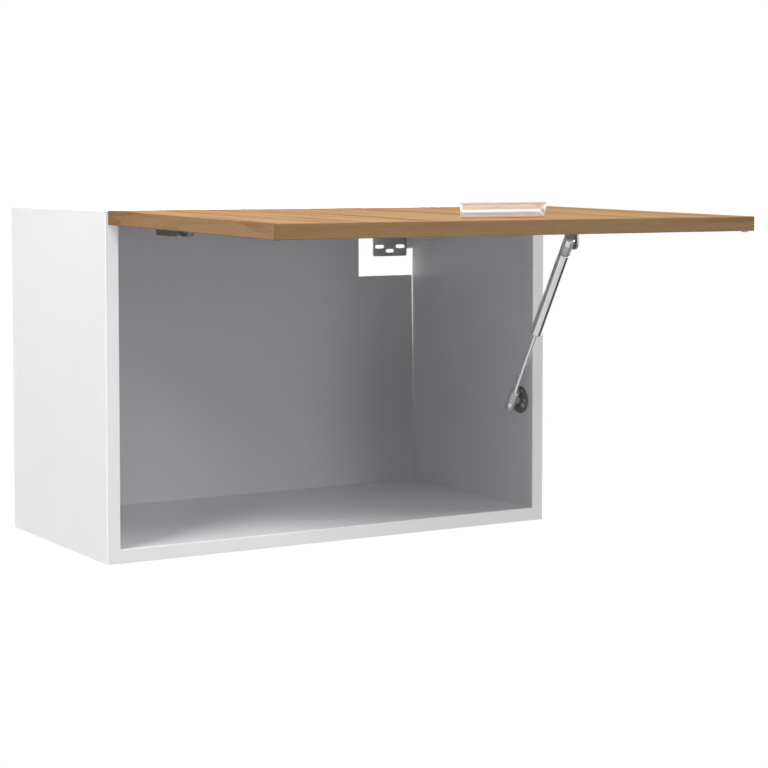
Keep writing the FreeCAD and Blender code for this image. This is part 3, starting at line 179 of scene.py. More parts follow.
def whiteBoard():
    look = boardLook
    material, paint = newFinish("whiteBoard")
    where = paint.place()
    cloud = paint.noise(where, look["cloud"], detail=3.0)
    pearl = paint.noise(where, look["pearl"], detail=1.0)
    flakes = paint.noise(where, look["flakes"], detail=4.0, rough=0.7)
    raw = paint.axes()[1] > look["rearEdge"]
    foil = paint.mix(paint.ramp(cloud, *look["cloudRange"]) * look["shading"], look["white"], look["shade"])
    chip = paint.mix(paint.ramp(flakes, *look["flakeRange"]), look["chip"], look["chipDark"])
    rough = look["roughness"] + look["cloudRough"] * cloud + look["rawRough"] * raw
    relief = pearl * (1 - raw) + flakes * raw * look["flakeRise"]
    paint.surface(Base_Color=paint.mix(raw, foil, chip), Roughness=rough,
                  Normal=paint.bump(relief, *look["bump"]))
    return material


# Thin plastic band glued on the front edges, satin with a faint drawn grain along Z. Its white, lighter than the
# boards', and a slight glow are painted light on the edges
edgeLook = dict(white=tone(0.90, 0.885, 0.90), shade=tone(0.87, 0.855, 0.87), drawn=(900, 900, 25),
                wave=(14, 14, 14), waveRange=(0.4, 0.75), shading=0.5, roughness=0.33, drawnRough=0.10,
                bump=(0.08, 0.0001), glow=0.14)


def whiteEdge():
    look = edgeLook
    material, paint = newFinish("whiteEdge")
    where = paint.place()
    drawn = paint.noise(where, look["drawn"])
    wave = paint.ramp(paint.noise(where, look["wave"]), *look["waveRange"])
    # The lighter white and the glow are painted light that brightens the front edges
    paint.surface(Base_Color=paint.mix(wave * look["shading"], look["white"], look["shade"]),
                  Roughness=look["roughness"] + look["drawnRough"] * drawn,
                  Normal=paint.bump(drawn, *look["bump"]),
                  Emission_Color=look["white"], Emission_Strength=look["glow"])
    return material


# Hardboard: white lacquer inside, brown pressed fibre on the side to the wall
hardboardLook = dict(white=tone(0.77, 0.765, 0.785), shade=tone(0.73, 0.725, 0.745),
                     fibre=tone(0.30, 0.18, 0.09), fibreLight=tone(0.44, 0.29, 0.16),
                     fibres=(260, 60, 260), fibreRange=(0.35, 0.68), fibreRise=4.0,
                     screen=(700, 100, 700), cloud=(7, 7, 7), shading=0.3, rearFace=-0.0006, roughness=0.48,
                     rearRough=0.3, bump=(0.10, 0.00015))


def whiteHardboard():
    look = hardboardLook
    material, paint = newFinish("whiteHardboard")
    where = paint.place()
    fibres = paint.noise(where, look["fibres"], detail=5.0, rough=0.65, distortion=0.6)
    screen = paint.noise(where, look["screen"], detail=1.0)
    cloud = paint.noise(where, look["cloud"], detail=3.0)
    rear = paint.axes()[1] > look["rearFace"]
    brown = paint.mix(paint.ramp(fibres, *look["fibreRange"]), look["fibre"], look["fibreLight"])
    white = paint.mix(cloud * look["shading"], look["white"], look["shade"])
    relief = screen * (1 - rear) + fibres * rear * look["fibreRise"]
    paint.surface(Base_Color=paint.mix(rear, white, brown),
                  Roughness=look["roughness"] + look["rearRough"] * rear,
                  Normal=paint.bump(relief, *look["bump"]))
    return material


# Oak print: bands, growth lines (the fraction of a stretched noise), fibres and pores that follow the grain.
# The grain runs along Y on the flap's faces and end bands, and along X on its front and hinge bands.
# The faces are tinted lighter (painted light), the front and hinge bands darker and the end bands darker still
# (painted shade)
oakLook = dict(light=tone(0.60, 0.375, 0.198), mid=tone(0.50, 0.292, 0.148), dark=tone(0.30, 0.158, 0.070),
               pore=tone(0.24, 0.12, 0.052), inner=tone(0.80, 0.795, 0.81), innerFace=0.0083, innerSmooth=0.2,
               sway=(3.4, 8, 8), swayShift=(3.1, 0.4, 0.2), warp=0.05, bands=(1.5, 24.0, 30),
               bandShift=(0.7, 0.2, 0.1), bandRange=(0.34, 0.60), lines=4.6, lineRange=(0.45, 1.0),
               faceLines=0.68, edgeLines=0.42, streak=(2.5, 130, 150), streakShift=(1.7, 0.9, 0.3),
               streakRange=(0.25, 0.65), fibre=(14, 900, 900), fibreRange=(0.40, 0.78), fibreShade=0.26,
               fibreRise=0.6, dashes=(55, 1500, 1500), dashRange=(0.62, 0.74), poreRange=(0.35, 0.95),
               poreShade=0.5, roughness=0.62, grainRough=0.10, bump=(0.12, 0.00012),
               # Tints: lighter on the faces is painted light, darker on the bands and darkest on the end bands is
               # painted shade
               litFaceTint=tone(1.26, 1.26, 1.25), shadedBandTint=tone(0.86, 0.86, 0.87),
               shadedEndTint=tone(0.58, 0.56, 0.57), endSkin=0.0001)


def oakDecor(name, tint, shadedEndTint=None, endBand=None):
    look = oakLook
    material, paint = newFinish(name)
    x, y, z = paint.axes()
    where = paint.add("ShaderNodeCombineXYZ", None, {0: y, 1: x, 2: z})
    if endBand:
        onEnd = abs(x) > endBand
        where = paint.mix(onEnd, paint.place(), where)
        tint = paint.mix(onEnd, tint, shadedEndTint)
    sway = paint.noise(where, look["sway"], shift=look["swayShift"])
    aside = paint.add("ShaderNodeCombineXYZ", None, {0: 0.0, 1: (sway - 0.5) * look["warp"], 2: 0.0})
    bent = paint.stretched(where, (1, 1, 1), aside)
    bands = paint.noise(bent, look["bands"], detail=1.5, rough=0.45, shift=look["bandShift"])
    growth = paint.maths("FRACT", bands * look["lines"], 0.0)
    streak = paint.noise(bent, look["streak"], detail=3.0, rough=0.6, shift=look["streakShift"])
    fibre = paint.noise(bent, look["fibre"], rough=0.6)
    dashes = paint.noise(bent, look["dashes"], detail=1.0)
    pores = paint.ramp(dashes, *look["dashRange"]) * paint.ramp(growth, *look["poreRange"])
    lines = paint.ramp(growth, *look["lineRange"]) * paint.ramp(streak, *look["streakRange"])
    body = paint.mix(paint.ramp(bands, *look["bandRange"]), look["mid"], look["light"])
    body = paint.mix(lines * look["edgeLines" if endBand else "faceLines"], body, look["dark"])
    body = paint.mix(paint.ramp(fibre, *look["fibreRange"]) * look["fibreShade"], body, look["dark"])
    body = paint.mix(pores * look["poreShade"], body, look["pore"])
    # The tint paints light on the faces and shade on the bands
    body = paint.mix(1.0, body, tint, "MULTIPLY")
    rough = look["roughness"] + look["grainRough"] * fibre + look["grainRough"] * pores
    if not endBand:
        inward = (y - flapPin[1]) * flapInward[1] + (z - flapPin[2]) * flapInward[2]
        inside = inward > look["innerFace"]  # plain white foil on the inner face
        body = paint.mix(inside, body, look["inner"])
        rough = rough - look["innerSmooth"] * inside
    paint.surface(Base_Color=body, Roughness=rough, Specular_IOR_Level=0.0,
                  Normal=paint.bump(fibre * look["fibreRise"] - pores, *look["bump"]))
    return material


# Metals: a tone, a fine grain (drawn out along Z on chrome), blotches of tarnish, a glow on the sockets' cast
# (painted light), and a darker steel for the hinges (painted shade)
metals = {
    "chrome": dict(bright=tone(0.90, 0.89, 0.90), dull=tone(0.84, 0.83, 0.85), grain=(600, 600, 40),
                   roughness=0.07, grainDepth=0.006),
    "zincSteel": dict(bright=tone(0.62, 0.62, 0.64), dull=tone(0.50, 0.50, 0.52), grain=(300, 300, 300),
                      roughness=0.26, grainDepth=0.05),
    "zincCast": dict(bright=tone(0.46, 0.46, 0.47), dull=tone(0.38, 0.38, 0.39), grain=(700, 700, 700),
                     roughness=0.36, grainDepth=0.20),
    "plateSteel": dict(bright=tone(0.49, 0.48, 0.49), dull=tone(0.38, 0.37, 0.385), grain=(500, 500, 500),
                       roughness=0.40, grainDepth=0.10),
    # Darker copy of the plated steel for the hinges: painted shade
    "darkSteel": dict(bright=tone(0.27, 0.27, 0.28), dull=tone(0.21, 0.21, 0.22), grain=(300, 300, 300),
                      roughness=0.34, grainDepth=0.05),
}
# The sockets' cast: zinc cast with a glow, painted light that lightens the sockets
metals["paleCast"] = dict(metals["zincCast"], glow=0.12)
tarnish = dict(patches=(30, 30, 30), patchRange=(0.38, 0.68), wornRough=0.14, grainRough=0.10,
               grainHeight=0.00008)


def metal(name):
    look = metals[name]
    material, paint = newFinish(name)
    where = paint.place()
    lines = paint.noise(where, look["grain"], rough=0.6)
    patches = paint.noise(where, tarnish["patches"], detail=4.0, rough=0.6)
    worn = paint.ramp(patches, *tarnish["patchRange"])
    rough = look["roughness"] + tarnish["wornRough"] * worn * look["roughness"]
    rough = rough + tarnish["grainRough"] * lines
    paint.surface(Base_Color=paint.mix(worn, look["bright"], look["dull"]), Metallic=1.0, Roughness=rough,
                  Emission_Color=look["bright"], Emission_Strength=look.get("glow", 0.0),
                  Normal=paint.bump(lines, look["grainDepth"], tarnish["grainHeight"]))
    return material


# Moulded plastic: fine erosion texture, a slightly shiny skin
plastics = {
    "greyPlastic": dict(colour=tone(0.80, 0.79, 0.80), shade=tone(0.73, 0.72, 0.73)),
    "darkPlastic": dict(colour=tone(0.19, 0.19, 0.195), shade=tone(0.15, 0.15, 0.155)),
}
mouldSkin = dict(grain=(1800, 1800, 1800), cloud=(60, 60, 60), cloudRange=(0.35, 0.7), roughness=0.42,
                 grainRough=0.10, bump=(0.18, 0.0001))


def moulded(name):
    look = plastics[name]
    material, paint = newFinish(name)
    where = paint.place()
    grain = paint.noise(where, mouldSkin["grain"])
    cloud = paint.ramp(paint.noise(where, mouldSkin["cloud"], detail=3.0), *mouldSkin["cloudRange"])
    paint.surface(Base_Color=paint.mix(cloud, look["colour"], look["shade"]),
                  Roughness=mouldSkin["roughness"] + mouldSkin["grainRough"] * grain,
                  Normal=paint.bump(grain, *mouldSkin["bump"]))
    return material


# Raw beech: straight fine grain with short flecks along X
beechLook = dict(light=tone(0.62, 0.42, 0.23), dark=tone(0.48, 0.29, 0.14), fleck=tone(0.33, 0.18, 0.08),
                 grain=(40, 900, 900), flecks=(150, 1800, 1800), fleckRange=(0.6, 0.7), fleckShade=0.5,
                 roughness=0.6, grainRough=0.2, bump=(0.2, 0.0001))


def beechWood():
    look = beechLook
    material, paint = newFinish("beech")
    where = paint.place()
    grain = paint.noise(where, look["grain"], detail=3.0)
    flecks = paint.ramp(paint.noise(where, look["flecks"], detail=1.0), *look["fleckRange"])
    wood = paint.mix(grain, look["light"], look["dark"])
    paint.surface(Base_Color=paint.mix(flecks * look["fleckShade"], wood, look["fleck"]),
                  Roughness=look["roughness"] + look["grainRough"] * grain,
                  Normal=paint.bump(grain, *look["bump"]))
    return material


# Satin metal of the handle with painted reflections: bands by the height off the flap in metres stand in for what
# the metal mirrors, from the oak's tint at the foot (painted reflection and shadow of the oak) to the grey lip,
# with a slight painted glow on the warm band below the lip
handleLook = dict(foot=tone(0.51, 0.33, 0.18), sole=tone(0.47, 0.445, 0.475), white=tone(0.70, 0.635, 0.595),
                  warm=tone(1.0, 0.91, 0.82), rim=tone(0.40, 0.375, 0.37), glow=tone(0.15, 0.15, 0.15),
                  noGlow=tone(0, 0, 0), footRange=(0.0014, 0.0021), whiteRange=(0.0035, 0.0088),
                  warmRange=(0.0085, 0.0105), rimRange=(0.0140, 0.0150), brush=(30, 1400, 1400),
                  roughness=0.33, brushRough=0.06, bump=(0.01, 0.00008))


def handleFinish(base):
    look = handleLook
    material, paint = newFinish("handleMetal")
    y, z = paint.axes()[1:]
    height = (flapPin[1] - y) * flapInward[1] + (flapPin[2] - z) * flapInward[2] - base
    brushed = paint.noise(paint.place(), look["brush"], rough=0.6)
    # Painted reflections by height: oak at the foot, pale sole, white band, warm band and grey lip
    colour = paint.mix(paint.ramp(height, *look["whiteRange"]), look["sole"], look["white"])
    colour = paint.mix(paint.ramp(height, *look["footRange"]), look["foot"], colour)
    upper = paint.ramp(height, *look["warmRange"])
    rim = paint.ramp(height, *look["rimRange"])
    colour = paint.mix(upper, colour, look["warm"])
    colour = paint.mix(rim, colour, look["rim"])
    # The warm band below the lip glows: painted light
    paint.surface(Base_Color=colour, Metallic=1.0, Roughness=look["roughness"] + look["brushRough"] * brushed,
                  Emission_Color=paint.mix(upper * (1.0 - rim), look["noGlow"], look["glow"]),
                  Emission_Strength=1.0, Normal=paint.bump(brushed, *look["bump"]))
    return material


# Soft buffer: frosted rubber with a dusty skin
rubberLook = dict(light=tone(0.56, 0.56, 0.56), dark=tone(0.50, 0.50, 0.50), dust=(500, 500, 500),
                  roughness=0.5, dustRough=0.15, bump=(0.1, 0.0001))


def bufferRubber():
    look = rubberLook
    material, paint = newFinish("bufferRubber")
    dust = paint.noise(paint.place(), look["dust"], detail=3.0)
    paint.surface(Base_Color=paint.mix(dust, look["light"], look["dark"]),
                  Roughness=look["roughness"] + look["dustRough"] * dust,
                  Normal=paint.bump(dust, *look["bump"]))
    return material


# Heights off the flap start at the handle's foot, depths at its mouth
handlePlaces = meshPlaces(nodes["handle"].data) - flapPin
handleFoot = -(handlePlaces @ flapInward).max()
handleMouth = (handlePlaces @ flapUp).min()

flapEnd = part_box("flap_panel")[1][0] - oakLook["endSkin"]
finishes = {
    "white_board": whiteBoard(),
    "white_edge": whiteEdge(),
    "white_hardboard": whiteHardboard(),
    "oak_decor": oakDecor("oakDecor", oakLook["litFaceTint"]),
    "oak_edge": oakDecor("oakEdge", oakLook["shadedBandTint"], oakLook["shadedEndTint"], flapEnd),
    "beech": beechWood(),
    "chrome": metal("chrome"),
    "handle_metal": handleFinish(handleFoot),
    "zinc_steel": metal("zincSteel"),
    "zinc_cast": metal("zincCast"),
    "plate_steel": metal("plateSteel"),
    "grey_plastic": moulded("greyPlastic"),
    "dark_plastic": moulded("darkPlastic"),
    "buffer_rubber": bufferRubber(),
}
finishOf = {node: finishes[slot] for node, slot in slotOf.items()}

# Nodes with a finish of their own within their slot: the hinges' darker steel is painted shade, the sockets'
# glowing cast is painted light
ownFinishes = {
    "darkSteel": ("left_hinge_plate", "right_hinge_plate", "left_hinge_arm", "right_hinge_arm"),
    "paleCast": ("lower_socket", "upper_socket"),
}
for name, members in ownFinishes.items():
    finishOf.update(dict.fromkeys(members, metal(name)))
for node, shape in nodes.items():
    shape.data.materials.clear()
    shape.data.materials.append(finishOf[node])
print("finishes made:", len(finishes))


# Quads between neighbouring lines of a grid; a closed way joins its last line to its first
def gridFaces(rows, cols, closeRows=False, closeCols=False):
    row = np.arange(rows if closeRows else rows - 1)[:, None]
    col = np.arange(cols if closeCols else cols - 1)[None, :]
    nextRow = (row + 1) % rows
    nextCol = (col + 1) % cols
    quads = [row * cols + col, row * cols + nextCol, nextRow * cols + nextCol, nextRow * cols + col]
    return np.stack(quads, axis=-1).reshape(-1, 4)


# Faces of a run of closed rings, with a cap on the first and the last
def cappedFaces(rows, cols):
    ring = np.arange(cols)
    caps = [ring.tolist(), (ring + (rows - 1) * cols).tolist()]
    return gridFaces(rows, cols, False, True).tolist() + caps


# Like grids as one array of points and one list of faces
def joinedGrids(grids, quads):
    points = np.stack([grid.reshape(-1, 3) for grid in grids])
    faces = quads + len(points[0]) * np.arange(len(points))[:, None, None]
    return points, faces.reshape(-1, 4).tolist()


# Distances in metres within which corners are merged, angles in degrees, and the steps of a soft edge
meshing = dict(weld=1e-6, copyWeld=2e-6, flatAngle=0.6, sharpAngle=35, copyAngle=32, bevelSegments=2)


# Puts points and faces into a mesh, closes seams and poles, and turns the faces outwards
def meshPiece(name, points, faces, sharp=meshing["sharpAngle"]):
    mesh = bpy.data.meshes.new(name)
    mesh.from_pydata(points.reshape(-1, 3).tolist(), [], faces)
    work = bmesh.new()
    work.from_mesh(mesh)
    bmesh.ops.remove_doubles(work, verts=work.verts, dist=meshing["weld"])
    bmesh.ops.recalc_face_normals(work, faces=work.faces)
    work.to_mesh(mesh)
    work.free()
    return shownPiece(name, mesh, sharp)


def shownPiece(name, mesh, sharp):
    mesh.shade_smooth()
    mesh.set_sharp_from_angle(angle=math.radians(sharp))
    piece = bpy.data.objects.new(name, mesh)
    bpy.context.scene.collection.objects.link(piece)
    return piece


# A piece that stands for a node: it rides on the node's body and takes its finish
def standFor(piece, node):
    piece.data.materials.clear()
    piece.data.materials.append(finishOf[node])
    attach(piece, bodyOf[node])
    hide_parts(node)


# A piece added to a body beside its nodes
def addTo(piece, body, slotName):
    piece.data.materials.append(finishes[slotName])
    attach(piece, body)


# The node's own shape with its triangles merged into faces and its edges softened by a width in mm
def softCopy(node, width):
    mesh = nodes[node].data.copy()
    mesh.name = node + "_shown"
    work = bmesh.new()
    work.from_mesh(mesh)
    flat = math.radians(meshing["flatAngle"])
    bmesh.ops.remove_doubles(work, verts=work.verts, dist=meshing["copyWeld"])
    bmesh.ops.dissolve_limit(work, angle_limit=flat, verts=work.verts, edges=work.edges)
    work.to_mesh(mesh)
    work.free()
    piece = shownPiece(node + "_shown", mesh, meshing["copyAngle"])
    if width:
        bevel = piece.modifiers.new("softEdges", "BEVEL")
        bevel.width = width * mm
        bevel.segments = meshing["bevelSegments"]
        bevel.limit_method = "ANGLE"
        bevel.angle_limit = math.radians(meshing["copyAngle"])
        bevel.harden_normals = True
    standFor(piece, node)
    return piece


# Corners give way to curves (1-t)^2 a + 2t(1-t) c + t^2 b between points at the radius from each corner c
def softCorners(corners, radius, steps, closed=True):
    corners = np.asarray(corners, float)
    radius = np.broadcast_to(np.asarray(radius, float), len(corners))[:, None]
    before = np.roll(corners, 1, 0) - corners
    after = np.roll(corners, -1, 0) - corners
    lengthBefore = np.linalg.norm(before, axis=1, keepdims=True)
    lengthAfter = np.linalg.norm(after, axis=1, keepdims=True)
    mostShare = 0.48  # of a side, so that two neighbouring curves don't meet
    start = corners + before / lengthBefore * np.minimum(radius, mostShare * lengthBefore)
    end = corners + after / lengthAfter * np.minimum(radius, mostShare * lengthAfter)
    t = np.linspace(0, 1, steps)[None, :, None]
    curve = (1 - t) ** 2 * start[:, None] + 2 * t * (1 - t) * corners[:, None] + t ** 2 * end[:, None]
    if closed:
        return curve.reshape(-1, 2)
    return np.vstack([corners[:1], curve[1:-1].reshape(-1, 2), corners[-1:]])


# Half the outline of a pin with soft rims, as points (along, radius) from the axis at one end to the other
def pinProfile(start, end, radius, soft, steps=5):
    return softCorners([[start, 0], [start, radius], [end, radius], [end, 0]], soft, steps, False)


# Two ways that are square to an axis and to each other
def waysAcross(axis):
    across = np.cross(axis, np.eye(3)[np.argmin(np.abs(axis))])
    across /= np.linalg.norm(across)
    return across, np.cross(axis, across)


# A profile point (along, radius) goes to origin + along * axis + radius * (cos t * across + sin t * beside)
def turnedPoints(profile, origin, axis, steps):
    axis = np.asarray(axis, float) / np.linalg.norm(axis)
    across, beside = waysAcross(axis)
    turn = np.linspace(0, 2 * np.pi, steps, endpoint=False)[:, None]
    ring = np.cos(turn) * across + np.sin(turn) * beside
    return np.asarray(origin) + profile[:, 0, None, None] * axis + profile[:, 1, None, None] * ring


# A profile in mm, turned about an axis
def turnedPiece(name, profile, origin, axis, steps=64, closed=False):
    points = turnedPoints(profile * mm, origin, axis, steps)
    return meshPiece(name, points, gridFaces(len(profile), steps, closed, True).tolist())


# Boards, back and bands with slightly broken edges, in mm
boards = dict(boardEdge=0.25, bandEdge=0.25, backEdge=0.2, askew=2.85, cornerZone=2.0, cornerTop=-200.0)
for node in ("left_side_panel", "right_side_panel", "top_panel", "bottom_panel", "flap_panel"):
    softCopy(node, boards["boardEdge"])
softCopy("carcass_edge_bands", 0)
softCopy("flap_edge_bands", boards["bandEdge"])


# The back hangs a little askew: its lower right corner lies nearer to the side, and the gap closes downwards
def backPiece():
    mesh = softCopy("back_panel", boards["backEdge"]).data
    places = meshPlaces(mesh)
    right = places[:, 0] > places[:, 0].max() - boards["cornerZone"] * mm
    low = places[:, 2] < boards["cornerTop"] * mm
    places[:, 0] += boards["askew"] * mm * (right & low)
    mesh.vertices.foreach_set("co", places.reshape(-1))


backPiece()
print("boards done")

# Hangers and hinges: pressed and cast parts with rounded edges, in mm
fittings = dict(hanger_housing=0.7, hanger_hook=0.3, wall_plate=0.3, hinge_plate=0.25, hinge_arm=0.35,
                hinge_cup=0.3)
for fitting, width in fittings.items():
    for side in ("left_", "right_"):
        softCopy(side + fitting, width)
softCopy("cam_locks", 0)
print("hangers and hinges done")


# Boxes of the separate solids of a node: labels spread over shared triangles until each solid has one
def solidBoxes(node):
    mesh = nodes[node].data
    mesh.calc_loop_triangles()
    corners = np.empty(len(mesh.loop_triangles) * 3, dtype=np.int64)
    mesh.loop_triangles.foreach_get("vertices", corners)
    places, merged = np.unique(np.round(meshPlaces(mesh), 6), axis=0, return_inverse=True)
    corners = merged.reshape(-1)[corners].reshape(-1, 3)
    label = np.arange(len(places))
    while True:
        lowest = label[corners].min(axis=1)
        spread = label.copy()
        np.minimum.at(spread, corners.reshape(-1), np.repeat(lowest, 3))
        spread = spread[spread]
        if (spread == label).all():
            break
        label = spread
    return [(places[label == one].min(axis=0), places[label == one].max(axis=0)) for one in np.unique(label)]


# Cross-head screws: a square grid drawn to a disc, x * sqrt(1 - y*y/2), domed as 1 - crown * r^3 and sunk in
# a cross. Its lines are shares of the radius, and those past 1 go down the rim. A row has a way and a height
screws = dict(crown=0.45, arm=0.13, reach=0.56, depth=0.75, shallow=0.45, hair=1e-6, sharp=40,
              lines=(0, 0.13, 0.19, 0.38, 0.56, 0.62, 0.76, 0.88, 0.96, 1.0, 1.4, 2.0))
screwRows = {
    "hinge_plate_screws": ((0, 0, -1), 1.6),
    "hinge_arm_screws": ((0, 0, -1), 1.7),
    "strut_base_screws": ((-1, 0, 0), 1.7),
    "hanger_adjusting_screws": ((0, -1, 0), 1.6),
    "hinge_cup_screws": (flapInward, 1.5),
    "strut_bracket_screws": (flapInward, 1.6),
    "handle_screws": (flapInward, 1.5),
}


def screwHead(centre, outward, radius, height):
    half = np.array(screws["lines"])
    line = np.concatenate([-half[:0:-1], half])
    u, v = np.meshgrid(line, line, indexing="ij")
    reach = np.maximum(np.abs(u), np.abs(v))
    fit = 1 / np.maximum(reach, 1)
    u, v = u * fit, v * fit
    x = u * np.sqrt(1 - v * v / 2)
    y = v * np.sqrt(1 - u * u / 2)
    r = np.minimum(np.hypot(x, y), 1)
    rim = np.clip(reach - 1, 0, 1)
    cross = np.minimum(np.abs(u), np.abs(v)) <= screws["arm"] + screws["hair"]
    cross &= reach <= screws["reach"] + screws["hair"]
    sunk = screws["depth"] * cross * (1 - screws["shallow"] * reach)
    top = (1 - screws["crown"] * r ** 3) * (1 - rim) - sunk
    across, beside = waysAcross(outward)
    points = x[..., None] * across + y[..., None] * beside
    return centre + radius * points + height * top[..., None] * outward


def screwRow(node, outward, height):
    outward = np.asarray(outward, float)
    ways = np.abs(np.round(outward))
    heads = []
    for low, high in solidBoxes(node):
        span = (high - low) / 2
        radius = (span * (1 - ways)).max()
        seat = (low + high) / 2 + outward * (ways @ span - height)
        heads.append(screwHead(seat, outward, radius, height))
    points, faces = joinedGrids(heads, gridFaces(*heads[0].shape[:2]))
    standFor(meshPiece(node + "_shown", points, faces, screws["sharp"]), node)


for node, (outward, height) in screwRows.items():
    screwRow(node, outward, height * mm)
print("screws done")

# Handle: sections of depth and height carried along X, with the scoop's depth times sqrt(1 - r * r) near its
# ends. Sizes are in mm, and stations are shares of the half length
handle = dict(length=103.6, flare=2.95, taper=13.5, height=16.5, flat=4.0, lip=1.5, sole=1.8, hollow=4.6,
              wall=1.6, fade=1.2, soft=0.4, endShrink=0.98, middle=(10.0, 8.0),
              endStations=(0.98, 0.995, 1.0), plainStations=10, fadeStations=15, fadeStart=0.1, scoopSteps=61,
              roundSteps=29, softSteps=5, sharp=50)


# Points at centre + radius * (cos a, sin a), with a in degrees
def arc(centre, radius, first, last, steps):
    turn = np.radians(np.linspace(first, last, steps))[:, None]
    return np.asarray(centre) + radius * np.hstack([np.cos(turn), np.sin(turn)])


def handlePiece():
    soft, tall, hollow, flat = handle["soft"], handle["height"], handle["hollow"], handle["flat"]
    chord = (tall - handle["lip"] - handle["sole"]) / 2
    radius = (chord ** 2 + hollow ** 2) / (2 * hollow)
    spread = math.degrees(math.asin(chord / radius))
    scoop = arc((hollow - radius, handle["sole"] + chord), radius, -spread, spread, handle["scoopSteps"])
    shell = np.vstack([arc((soft, tall - soft), soft, 180, 90, handle["softSteps"]),
                       arc((flat, 0), tall, 90, 0, handle["roundSteps"]),
                       arc((soft, soft), soft, 270, 180, handle["softSteps"])])
    reach = handle["length"] / 2 + handle["flare"]
    inner = 1 - handle["wall"] / reach
    start = inner - handle["fade"] / reach
    plain = np.linspace(0, start, handle["plainStations"])
    turn = np.linspace(handle["fadeStart"], np.pi / 2, handle["fadeStations"])
    side = np.concatenate([plain, start + (inner - start) * np.sin(turn), handle["endStations"]])
    station = np.concatenate([-side[:0:-1], side])[:, None]
    fade = np.sqrt(1 - np.clip((np.abs(station) - start) / (inner - start), 0, 1) ** 2)
    depth = np.hstack([scoop[:, 0] * fade, np.broadcast_to(shell[:, 0], (len(station), len(shell)))])
    height = np.broadcast_to(np.concatenate([scoop[:, 1], shell[:, 1]]), depth.shape)
    shrink = np.where(np.abs(station) >= 1, handle["endShrink"], 1.0)
    middleDepth, middleHeight = handle["middle"]
    depth = middleDepth + (depth - middleDepth) * shrink
    height = middleHeight + (height - middleHeight) * shrink
    taper = reach - handle["taper"] * depth / (flat + tall)
    half = np.minimum(handle["length"] / 2 + handle["flare"] * height / tall, taper)
    points = flapPin + (station * half * mm)[..., None] * alongX
    points = points + (handleMouth + depth * mm)[..., None] * flapUp
    points = points - (handleFoot + height * mm)[..., None] * flapInward
    standFor(meshPiece("handle_shown", points, cappedFaces(*depth.shape), handle["sharp"]), "handle")


handlePiece()

# Gas strut, drawn along its own line from the lower ball, in mm
strut = dict(tubeStart=103.62, tubeEnd=221.12, tubeRadius=7.5, bore=6.7, boreEdge=0.1, lowRoll=1.3,
             topRoll=0.7, rollSteps=7, tubeSteps=96, rodStart=7.5, rodEnd=120.0, rodRadius=3.0, rodEdge=0.4)
strutEdges = dict(lower_socket=0.45, upper_socket=0.45, strut_bracket=0.45, strut_base_plate=0.5,
                  lower_ball_stud=0, upper_ball_stud=0, rod_guide=0)
strutBall = np.array(joints["strut_swing"]["pos_m"])
strutAlong = np.array(joints["strut_slide"]["axis"])


def strutPieces():
    wall = [[strut["tubeStart"], strut["bore"]], [strut["tubeStart"], strut["tubeRadius"]],
            [strut["tubeEnd"], strut["tubeRadius"]], [strut["tubeEnd"], strut["bore"]]]
    edges = [strut["boreEdge"], strut["lowRoll"], strut["topRoll"], strut["boreEdge"]]
    profile = softCorners(wall, edges, strut["rollSteps"])
    tube = turnedPiece("strut_tube_shown", profile, strutBall, strutAlong, strut["tubeSteps"], True)
    standFor(tube, "strut_tube")
    profile = pinProfile(strut["rodStart"], strut["rodEnd"], strut["rodRadius"], strut["rodEdge"])
    standFor(turnedPiece("strut_rod_shown", profile, strutBall, strutAlong), "strut_rod")


strutPieces()
for node, width in strutEdges.items():
    softCopy(node, width)
print("strut done")

# Spring clips that hold the balls: rounded plates wrapped on the sockets. A point (across, along) goes to
# along * axis + (radius + rise) * (cos a * facing + sin a * beside) with a = across / radius
clips = {
    "lower_clip": dict(body="rod", along=-5.2, radius=6.5, width=4.6, length=6.2, facing=(-0.66, -0.75, 0)),
    "upper_clip": dict(body="tube", along=239.0, radius=7.1, width=7.4, length=7.8, facing=(-0.52, -0.85, 0)),
}
# A clip's rings from its foot to its middle: the share of its outline, and the rise off the socket in mm
clipInset = np.array([1.0, 1.0, 0.95, 0.86, 0.5, 0.0])[:, None, None]
clipRise = np.array([-0.5, 0.35, 0.52, 0.6, 0.62, 0.62])[:, None, None]
clipCorner = dict(radius=0.4, steps=6)


def clipPiece(name, body, along, radius, width, length, facing):
    outline = softCorners([[-1, -1], [1, -1], [1, 1], [-1, 1]], **clipCorner) * [width / 2, length / 2]
    flat = clipInset * outline
    facing = np.array(facing) - strutAlong * (strutAlong @ np.array(facing))
    facing /= np.linalg.norm(facing)
    beside = np.cross(strutAlong, facing)
    turn = flat[..., :1] / radius
    spot = (along + flat[..., 1:]) * strutAlong
    spot = spot + (radius + clipRise) * (np.cos(turn) * facing + np.sin(turn) * beside)
    faces = gridFaces(len(clipInset), len(outline), False, True).tolist()
    addTo(meshPiece(name, spot * mm + strutBall, faces + [np.arange(len(outline)).tolist()]), body, "chrome")


for name, clip in clips.items():
    clipPiece(name, **clip)

# Rivets near the base plate's rim, and the lower stud's collar: pins turned about X, in mm and degrees
rivets = dict(circle=15.0, angles=(126, 178), radius=2.1, rise=0.3, sink=0.3, soft=0.2, steps=32)
collar = dict(radius=4.6, start=6.7, end=8.8, soft=0.5, steps=48)


